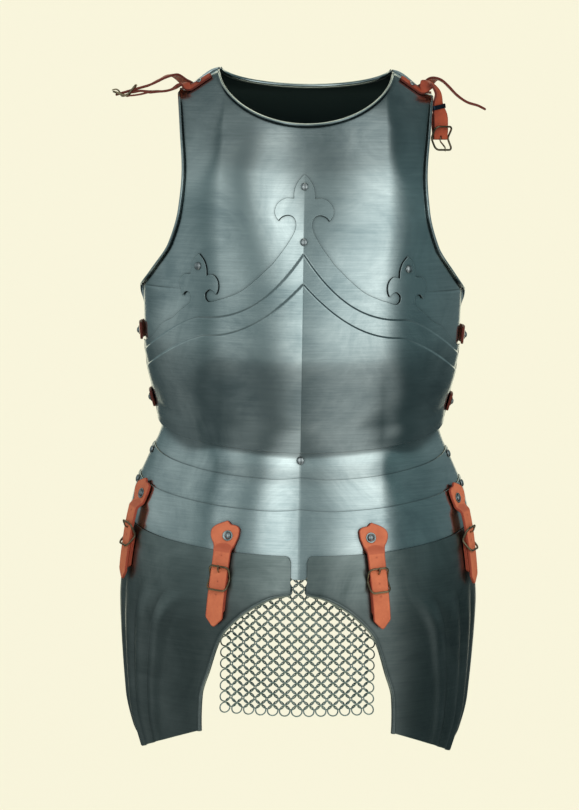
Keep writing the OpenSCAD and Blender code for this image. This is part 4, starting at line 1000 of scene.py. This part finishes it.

# %% [markdown]
# ## Tasset straps
#
# Four straps carry the tassets. Each has a lobed head, lopsided as if cut by eye, a darker half oval
# below its rivet, four small holes and a pointed tip. A strap is given two bodies, the lowest lame
# and the tasset, and is only fixed in place, riding on neither.

# %% Tasset straps
LAME_OUT, TASSET_OUT = 3 * LAYER + PLATE_T / 2, 4 * LAYER + PLATE_T / 2
CHAPE_T, DROP, SLANT, HEAD, TIP = 3.8, 46.0, 2.5, 17, 104.5
STRAP_OUT = TASSET_OUT + GAP + CHAPE_T + GAP + STRAP_T / 2
places = {"inner": (24.5, HEM + 29), "outer": (70.5, HEM + 47)}

def strap_point(a, s, drop, out):
    b = a + SLANT * np.asarray(drop, float) / TIP
    n = surface_normal(front, b, s - drop)
    return front(b, s - drop) + n * np.asarray(out, float)[..., None], n

def strap_offset(drop):
    return mix(LAME_OUT + GAP + STRAP_T / 2, STRAP_OUT, ease((drop - 8) / 9))

def in_strap(parts, a, s, drop, out):
    p, n = strap_point(a, s, drop, out)
    up = strap_point(a, s, drop - 5, out)[0] - strap_point(a, s, drop + 5, out)[0]
    return [stood(q, p, n, up) for q in parts]

head_in = [(2.2, -16), (8.5, -12.9), (14.6, -9.2), (17.8, -6), (19.2, -2), (18.7, 2.6), (16.9, 7), (14.1, 11.4),
           (11.6, 16.6), (10.3, 22), (10, 28)]
head_out = [(0.4, -15.3), (-2.4, -12.9), (-7.9, -12.4), (-11.6, -11), (-13.5, -8.4), (-13.9, -4), (-13.5, 1),
            (-12.2, 6), (-10.9, 11), (-10.1, 16.5), (-10, 22)]
tip = [(u, d + HEAD) for u, d in [(10, 94), (9.2, 95.9), (2.2, 103.7), (0.8, TIP)]]

# A half oval below the head rivet is given a darker tone through the edge attribute.
def darker_half_oval(u, v):
    drop = v - HEAD
    return 0.42 * (drop < 21.2) * (((u + 0.6) / 11.5) ** 2 + ((drop - 21.2) / 12) ** 2 < 1)

for where, (a, s) in places.items():
    drops = np.arange(-HEAD, TIP + 1.01, 1.0)
    points, normals = strap_point(a, s, drops, strap_offset(drops))
    for name, side in SIDES:
        place, _ = line_place(points * [side, 1, 1], normals * [side, 1, 1])
        inner, outer = ([tuple(q) for q in rounded_path([(-u * side, d + HEAD) for u, d in head], {0, 10}, 0.8)]
                        for head in (head_in, head_out))
        right, left = (inner, outer) if side < 0 else (outer, inner)
        holes = [round_hole(HEAD + DROP - PRONG_Y + k * PITCH, 1.2 if k else PRONG_HOLE) for k in (-1, 0, 1, 2)]
        z = float(points[25, 2]) / 1000
        strap(f"tasset_strap_{name}_{where}", f"tasset_straps_{name}", place, right + tip, holes,
              ("fauld_low", f"{name}_tasset", (0, 0, z), (0, 0, z - 0.016)), tan,
              left=left + [(-u, d) for u, d in tip], tone_mask=darker_half_oval)
print("tasset straps:", len([n for n in pieces if n.startswith("tasset_strap_")]))

# %% [markdown]
# ## Chapes and tasset buckles
#
# A chape is the short leather that holds a buckle. It is folded round the bar, pared thin at the fold
# so that it turns tightly, and slotted there for the prong. It is drawn as one line in a plane, back
# along the lower layer, round the bar and forward on top, and then laid under the strap.

# %% Chapes and tasset buckles
FOLD_R = 1.48

def fold(length):
    """Middle line of a chape in a plane: back along the lower layer, round the bar, forward on top."""
    low = [(-y, -BAR_LIFT - 0.62) for y in np.linspace(length, 6, 12)] + [
        (-3.2, -BAR_LIFT - 0.95), (-1.2, -BAR_LIFT - 1.38)]
    turn = [(FOLD_R * math.cos(t), -BAR_LIFT + FOLD_R * math.sin(t)) for t in np.linspace(-1.45, 1.45, 11)]
    high = [(-1.2, -BAR_LIFT + 1.46), (-3.2, -BAR_LIFT + 1.4)] + [
        (-y, -BAR_LIFT + 1.3) for y in np.linspace(6, length + 1, 12)]
    line = np.array(low + turn + high)
    way = unit(np.gradient(line, axis=0))
    return line, np.stack([way[:, 1], -way[:, 0]], 1)

def chape(name, node, to_space, body, material, half, length=36.0):
    """Leather folded round the bar of a buckle, thin at the fold, with a slot for the prong."""
    flat, turn = fold(length)
    place, at = line_place(*to_space(flat, turn))
    long, bend = at[-1], at[len(flat) // 2]
    strap(name, node, place, [(half - 2, 0), (half, 2), (half, long - 2), (half - 2, long)], [bar_slot(bend)], body,
          material, thick=lambda v: mix(SKIVED, 1.75, ease((np.abs(v - bend) - FOLD_HALF) / 4)), radius=0.36,
          step=1.2)

def on_tasset(a, s, side):
    def to_space(flat, turn):
        drop, out = DROP - flat[:, 0], np.full(len(flat), STRAP_OUT)
        p, n = strap_point(a, s, drop, STRAP_OUT + flat[:, 1])
        up = unit(strap_point(a, s, drop - 1, out)[0] - strap_point(a, s, drop + 1, out)[0])
        return p * [side, 1, 1], (up * turn[:, :1] + n * turn[:, 1:]) * [side, 1, 1]
    return to_space

heads, washers = [], []
for name, side in SIDES:
    frames, prongs = [], []
    for where, (a, s) in places.items():
        chape(f"tasset_chape_{name}_{where}", f"tasset_chapes_{name}", on_tasset(a, s, side), f"{name}_tasset", tan,
              STRAP_W / 2 - 0.2)
        frames += in_strap(buckle, a, s, DROP, STRAP_OUT)
        prongs += in_strap(prong, a, s, DROP, STRAP_OUT)
    put(f"tasset_frames_{name}", f"tasset_buckles_{name}", sided(frames, side), brass, f"{name}_tasset")
    put(f"tasset_tongues_{name}", f"tasset_prongs_{name}", sided(prongs, side), brass, f"{name}_tasset")
for a, s in places.values():
    at_head = (a - 0.45, s, 0.0, LAME_OUT + GAP + STRAP_T + RIVET_GAP)
    washers += in_strap([washer(11.8)], *at_head)
    heads += in_strap([dome(7.2, 2.3, 0.75)], *at_head)
put("tasset_washers", "tasset_head_rivets", both(washers), steel, "fauld_low")
put("tasset_rivet_heads", "tasset_head_rivets", both(heads), rivet_steel, "fauld_low")
print("tasset buckles: 4")

# %% [markdown]
# ## Side straps
#
# Two straps on each side run from the breastplate round to buckles on the backplate. From the front
# they show only as slivers. The same line is used for the strap and, a little deeper, for the folded
# leather that holds its buckle.

# %% Side straps
TONGUE_FRONT = PLACKART_OUT + 2 * STEP_H + PLATE_T / 2 + 1.5 * GAP + STRAP_T / 2
SIDE_CHAPE_T = 4.5
SIDE_CHAPE_OUT = PLATE_T / 2 - BACK_SPACE + 2 * GAP + SIDE_CHAPE_T / 2
TONGUE_BACK = SIDE_CHAPE_OUT + SIDE_CHAPE_T / 2 + GAP + STRAP_T / 2
SIDE_A, HEAD_A = 112.0, 87.4
BUCKLE_OUT = TONGUE_BACK - 0.45

def around(a, s, out):
    a = np.asarray(a, float)
    return np.where((a <= 90)[..., None], front(a, s, out), back(180 - a, s, out))

def around_normal(a, s):
    return unit(np.cross(around(a + 2, s, 0) - around(a - 2, s, 0), around(a, s + 6, 0) - around(a, s - 6, 0)))

def side_out(a, s):
    """The upper strap starts above the steps of the plackart, so it lies lower."""
    start = TONGUE_FRONT + flare(s - STRAP_W / 2) - (3 if s > ARMPIT - 60 else 0)
    return mix(start, TONGUE_BACK, ease((a - 88) / 14))

def on_side(parts, a, s, out):
    n = around_normal(np.array(float(a)), s)
    up = around(a - 3.0, s, out) - around(a + 3.0, s, out)
    return [stood(q, around(float(a), s, out), n, up) for q in parts]

def on_back_of_side(s, side):
    angles = np.linspace(SIDE_A - 3, SIDE_A + 40, 90)
    run = lengths(around(angles, s, SIDE_CHAPE_OUT))
    run -= np.interp(SIDE_A, angles, run)

    def to_space(flat, turn):
        a = np.interp(-flat[:, 0], run, angles)
        out = BUCKLE_OUT + flat[:, 1]
        up = unit(around(a - 1, s, out) - around(a + 1, s, out))
        return around(a, s, out) * [side, 1, 1], (up * turn[:, :1] + around_normal(a, s) * turn[:, 1:]) * [side, 1, 1]
    return to_space

side_levels = {"upper": ARMPIT - 52, "lower": ARMPIT - 128}
angles = np.arange(83.5, 134.6, 0.5)
half, root = STRAP_W / 2, 4.5
for name, side in SIDES:
    frames, prongs = [], []
    for where, s in side_levels.items():
        place, run = line_place(around(angles, s, side_out(angles, s)) * [side, 1, 1],
                                around_normal(angles, s) * [side, 1, 1])
        long, middle = run[-1], float(np.interp(SIDE_A, angles, run))
        right = [(half - root, 0), (half - 0.3 * root, 0.3 * root), (half, root), (half, long - 9),
                 (half - 1.2, long - 7.2), (2.6, long - 0.8), (0.9, long)]
        holes = [round_hole(middle - PRONG_Y + k * PITCH, 1.3 if k else PRONG_HOLE) for k in (-1, 0, 1)]
        hinge = ("torso_front", "torso_back", (-0.17, -0.01, s / 1000), (-0.17, 0.05, s / 1000))
        strap(f"side_strap_{name}_{where}", f"side_straps_{name}", place, right, holes,
              hinge if side < 0 else "torso_front", russet)
        chape(f"side_chape_{name}_{where}", f"side_chapes_{name}", on_back_of_side(s, side), "torso_back", russet,
              9, 58)
        frames += on_side(buckle, SIDE_A, s, BUCKLE_OUT)
        prongs += on_side(prong, SIDE_A, s, BUCKLE_OUT)
    put(f"side_frames_{name}", f"side_buckles_{name}", sided(frames, side), brass, "torso_back")
    put(f"side_tongues_{name}", f"side_prongs_{name}", sided(prongs, side), brass, "torso_back")
caps, rings, chape_caps = [], [], []
for s in side_levels.values():
    out = side_out(np.array(HEAD_A), s) + STRAP_T / 2 + RIVET_GAP
    rings += on_side([washer(10)], HEAD_A, s, out)
    caps += on_side([dome(6.6, 2.2, 0.75)], HEAD_A, s, out)
    chape_caps += on_side([dome(8, 2.2)], SIDE_A + 19, s, BUCKLE_OUT - 2.83 + 0.9 + RIVET_GAP)
put("side_strap_washers", "side_strap_rivets", both(rings), steel, "torso_front")
put("side_strap_heads", "side_strap_rivets", both(caps), rivet_steel, "torso_front")
put("side_chape_heads", "side_chape_rivets", both(chape_caps), rivet_steel, "torso_back")
print("side straps: 4")

# %% [markdown]
# ## Shoulder straps
#
# On the wearer's left shoulder the strap is open: the tongue arches free and the buckle hangs on its
# own strap. On the other side it is closed. The straps leave the plates, so they follow free lines,
# drawn through a few points taken from the photograph.

# %% Lines over the shoulders
THIN = 2.6
FULL, NARROW = [(0, 9.6), (1, 9.6)], [(0, 4.6), (29, 4.6), (42, 9.6)]

def beside(x, y, z):
    return np.array([SHOULDER_W / 2 + x, y, SHOULDER - FALL + z])

def seat(x, out, plate):
    """Point and normal on the shoulder of a plate, x from the middle."""
    s = SHOULDER - float(fall(np.array(float(x)))) - 5
    a = angle_at(x, s)
    n = surface_normal(plate, a, s)
    return (plate(a, s) if plate is front else plate(a, s, -BACK_SPACE) + n * RIVET_GAP) + n * out, n

def seats(plate):
    found = [seat(x, PLATE_T / 2 + GAP + THIN / 2, plate) for x in (106, 110, 114, 118, 122, 125.5, 129)]
    return [q[0] for q in found], [q[1] for q in found]

def local(c, way, n, flat):
    return [c + way * y + n * z for y, z in flat]

arc = [(FOLD_R * math.cos(t), -BAR_LIFT + FOLD_R * math.sin(t)) for t in np.linspace(1.45, -1.45, 11)]
hook = np.array([(-14, -3.1), (-9, -2.75), (-6, -2.7), (-3.2, -2.72), (-1.2, -2.66)] + arc + [
    (-1.2, -5.6), (-3.2, -5.5), (-6, -5.9), (-10, -6.6), (-15, -7.2), (-21, -7.5), (-28, -7.2)])
hook_turn = unit(np.gradient(hook, axis=0))
hook_turn = np.stack([-hook_turn[:, 1], hook_turn[:, 0]], 1)

closed_c, tilt = beside(61.5, 0, -5), 17
closed_l, closed_n = np.array([cosd(tilt), 0, -sind(tilt)]), np.array([sind(tilt), 0, cosd(tilt)])
open_bar, open_l = beside(10.5, -12.5, -52), np.array([0.0, 0, -1])
open_n = unit(np.array([0.55, -0.83, 0]))
open_c = open_bar + open_n * BAR_LIFT

def shoulder_piece(name, node, points, normals, widths, tip, holes, body, side, slot_at=None):
    """Strap along a free line; `holes` are points and radii. A buckle strap has a slot and no tip."""
    p, n = np.array(points, float), unit(np.array(normals, float))
    at = lengths(p)
    x = np.linspace(0, at[-1], int(at[-1] / 1.5))
    p, n = through(x, at, p), unit(through(x, at, n))
    place, run = line_place(p * [side, 1, 1], n * [side, 1, 1])
    long = run[-1]
    where = lambda q: float(run[np.argmin(np.linalg.norm(p - q, axis=1))])
    holes = [round_hole(where(q), r) for q, r in holes]
    v = np.arange(0, long - (tip or 0.01), 1.0)
    half = np.interp(v, [w[0] for w in widths], [w[1] for w in widths])
    half[:3] -= [1.6, 0.7, 0.2]
    w = half[-1]
    if slot_at is None:
        end, thick, radius = [(w * 0.55, long - tip * 0.4), (1, long)], THIN, 0.8
    else:
        bend = where(slot_at)
        end, radius = [(w - 0.3, long - 0.9), (w - 1.3, long)], 0.37
        thick = lambda v: mix(SKIVED, np.where(v < bend, THIN, 1.9),
                              ease(np.where(v < bend, (bend - v - FOLD_HALF) / 9, (v - bend - FOLD_HALF) / 4)))
        holes.append(bar_slot(bend))
    strap(name, node, place, list(zip(half, v)) + end, holes, body, russet, thick=thick, radius=radius)

print("bar of the open buckle at", open_bar.round(1).tolist())


# %% [markdown]
# The backplate carries the two tongues and the breastplate the two buckle straps. Each is a list of
# points, with a normal at each that says how the leather lies or twists there. The closed tongue runs
# through its buckle, and the open one arches free.

# %% Halves of the shoulder straps
p, n = seats(back)
shoulder_piece(
    "shoulder_tongue_closed", "shoulder_tongue_left",
    p + [beside(-3.5, 22, 8), beside(7.5, 16, 15), beside(19.5, 7, 11)]
    + local(closed_c, closed_l, closed_n, [(-28, 0), (-14, 0), (0, 0), (7, 0), (12.4, 0)]),
    n + [(0.1, 0.1, 1), (0.1, 0, 1), (0.3, 0, 1)] + [closed_n] * 5, FULL, 7,
    [(closed_c + closed_l * PRONG_Y, PRONG_HOLE), (closed_c + closed_l * (PRONG_Y - PITCH), 1.3)],
    ("torso_back", "torso_front", (-0.14, 0, 0), (-0.185, 0, 0)), -1)
shoulder_piece(
    "shoulder_tongue_open", "shoulder_tongue_right",
    p + [beside(-4.5, 22, 8), beside(5, 17, 15.5), beside(13, 14, 13), beside(21, 12, 6), beside(30, 10, -3),
         beside(42, 8, -11), beside(55, 6, -15), beside(63, 5, -19)],
    n + [(0.1, 0.1, 1), (0.25, 0, 1), (0.55, 0, 0.8), (0.7, 0, 0.7), (0.6, 0, 0.8), (0.4, 0, 1), (0.3, 0, 1),
         (0.5, 0, 0.9)],
    FULL, 8, [(beside(42, 8, -11), 1.4), (beside(30, 10, -3), 1.4)], "torso_back", 1)
p, n = seats(front)
shoulder_piece(
    "shoulder_buckle_strap_closed", "shoulder_buckle_strap_left",
    p + [beside(-3.5, -15, 5), beside(7.5, -12, -1), beside(21.5, -6, -4), beside(33, -1, -4.5)]
    + local(closed_c, closed_l, closed_n, hook),
    n + [(0.4, 0, 1), (0.4, 0, 1), (0.1, 0, 1), closed_n] + local(0, closed_l, closed_n, hook_turn),
    NARROW, None, [], "torso_front", -1, slot_at=closed_c + closed_l * FOLD_R - closed_n * BAR_LIFT)
shoulder_piece(
    "shoulder_buckle_strap_open", "shoulder_buckle_strap_right",
    p + [beside(-3.5, -15, 10), beside(6.5, -14.5, 0), beside(7.5, -14, -17)]
    + local(open_c, open_l, open_n, np.vstack([[(-23, -3.9)], hook])),
    n + [(0.5, -0.1, 0.8), (0.9, -0.3, 0.3), (0.75, -0.6, 0.1)]
    + local(0, open_l, open_n, np.vstack([[(0, 1)], hook_turn])),
    NARROW, None, [], "torso_front", 1, slot_at=open_c + open_l * FOLD_R - open_n * BAR_LIFT)
print("halves:", len([n for n in pieces if n.startswith("shoulder_")]))


# %% [markdown]
# The closed buckle stays with the breastplate. The open one hangs on its strap, so its frame and its
# prong are bodies of their own that can swing. A keeper is a small loop round a strap, which holds a
# loose end down. It is drawn as a rounded ring with a flat section and stands on the strap's line.

# %% Buckles, rivets and keeper of the shoulders
closed_seat, open_seat = (closed_c, closed_n, closed_l), (open_c, open_n, open_l)
for name, node, parts, at_seat, side, body in (
        ("shoulder_frame_closed", "shoulder_buckle_left", buckle, closed_seat, -1, "torso_front"),
        ("shoulder_prong_closed", "shoulder_prong_left", prong, closed_seat, -1, "torso_front"),
        ("shoulder_frame_open", "shoulder_buckle_right", buckle, open_seat, 1, "loose_buckle"),
        ("shoulder_prong_open", "shoulder_prong_right", open_prong, open_seat, 1, "loose_prong")):
    put(name, node, sided([stood(q, *at_seat) for q in parts], side), brass, body)

RIVET_X = 118

def seated(part, plate):
    q, n = seat(RIVET_X, PLATE_T / 2 + GAP + THIN + RIVET_GAP, plate)
    return both([stood(part, q, n, (1, 0, 0))])

put("front_strap_heads", "front_strap_rivets", seated(dome(6.2, 2), front), rivet_steel, "torso_front")
put("back_strap_washers", "back_strap_rivets", seated(washer(11.8), back), steel, "torso_back")
put("back_strap_heads", "back_strap_rivets", seated(dome(7.2, 2.3, 0.75), back), rivet_steel, "torso_back")

def loop_of(wide, high, corner, length, wall):
    """Rounded loop in the X-Z plane, with a rounded flat section that is `length` long in Y."""
    x0, z0, h = wide / 2 - corner, high / 2 - corner, length / 2
    section = [(0, -h + 0.4), (0.15, -h), (wall - 0.15, -h), (wall, -h + 0.4), (wall, h - 0.4), (wall - 0.15, h),
               (0.15, h), (0, h - 0.4)]
    rings = []
    for k, (sx, sz) in enumerate(((1, 1), (-1, 1), (-1, -1), (1, -1))):
        for t in np.linspace(0, 90, 7) + 90 * k:
            c = np.array((sx * x0 + corner * cosd(t), 0, sz * z0 + corner * sind(t)))
            rings.append(np.array([c + np.array((cosd(t), 0, sind(t))) * r + (0, y, 0) for r, y in section[::-1]]))
    return tubes(rings, True)

keeper_up = beside(6.5, -14.5, 0) - (open_bar - open_l * 23)
put("keeper_loop", "strap_keeper",
    [stood(loop_of(21.4, 4.6, 1.2, 5, 1.2), beside(7.5, -14, -17), unit(np.array([0.75, -0.6, 0.1])), keeper_up)],
    keeper_steel, "torso_front")
print("shoulder straps: 4")

# %% [markdown]
# ## Mail
#
# The mail skirt is 310 separate rings. Rows lean forward and back in turn, and each ring passes
# through four neighbours without touching them. The rings are exact tori in a fixed lattice that
# follows the curve of the lowest lame, and a leather band behind the lame carries the top row.

# %% Mail skirt
RING_R, WIRE, RING_TILT, RING_PITCH, ROW, ROWS, FIRST, COLS = 5.8, 1.3, 26, 13.4, 6.25, 28, 4, 13
WIRE_WIDE, WIRE_HIGH = 0.78, 0.66
MAIL_OUT = 3 * LAYER - PLATE_T / 2 - 2.4 - (RING_R * math.sin(math.radians(RING_TILT)) + WIRE / 2)
MAIL_S = HEM + 8

def mail_point(a):
    p = front(a, MAIL_S, MAIL_OUT)
    return np.array([p[0], p[1], MAIL_S - DIP])

def mail_ring(lean):
    w = np.linspace(0, 360, 10, endpoint=False)
    r, z = RING_R + WIRE_WIDE * cosd(w), WIRE_HIGH * sind(w)
    points, faces = tubes([np.stack([r * cosd(t), r * sind(t), z], 1)
                           for t in np.linspace(0, 360, 36, endpoint=False)], True)
    c, s = cosd(90 + lean), sind(90 + lean)
    return points @ np.array([[1, 0, 0], [0, c, -s], [0, s, c]]).T, [f[::-1] for f in faces]

rings = []
for j in range(ROWS):
    count = FIRST + j if FIRST + j < COLS else COLS - (COLS + FIRST + j) % 2
    points, faces = mail_ring(RING_TILT if j % 2 == 0 else -RING_TILT)
    for i in range(count):
        a = math.degrees(math.asin((i - (count - 1) / 2) * RING_PITCH / (HIP_R + MAIL_OUT)))
        q = mail_point(a + 1) - mail_point(a - 1)
        t = math.degrees(math.atan2(q[1], q[0]))
        spin = np.array([[cosd(t), -sind(t), 0], [sind(t), cosd(t), 0], [0, 0, 1]])
        rings.append((points @ spin.T + mail_point(a) - [0, 0, j * ROW], faces))
put("mail_rings", "mail_skirt", rings, wire_steel, "mail")

reach = np.linspace(-11, 11, 23)
z = MAIL_S - DIP + RING_R * cosd(RING_TILT) + WIRE / 2 + GAP + 7
s = z + DIP * cosd(reach)
place, at = line_place(front(reach, s, 3 * LAYER - PLATE_T / 2 - 1.6), surface_normal(front, reach, s))
strap("mail_carrier", "mail_band", place, [(6.2, 0), (7, 0.8), (7, at[-1] - 0.8), (6.2, at[-1])], [], "fauld_low",
      russet, thick=2, radius=0.5)
print("rings:", len(rings))
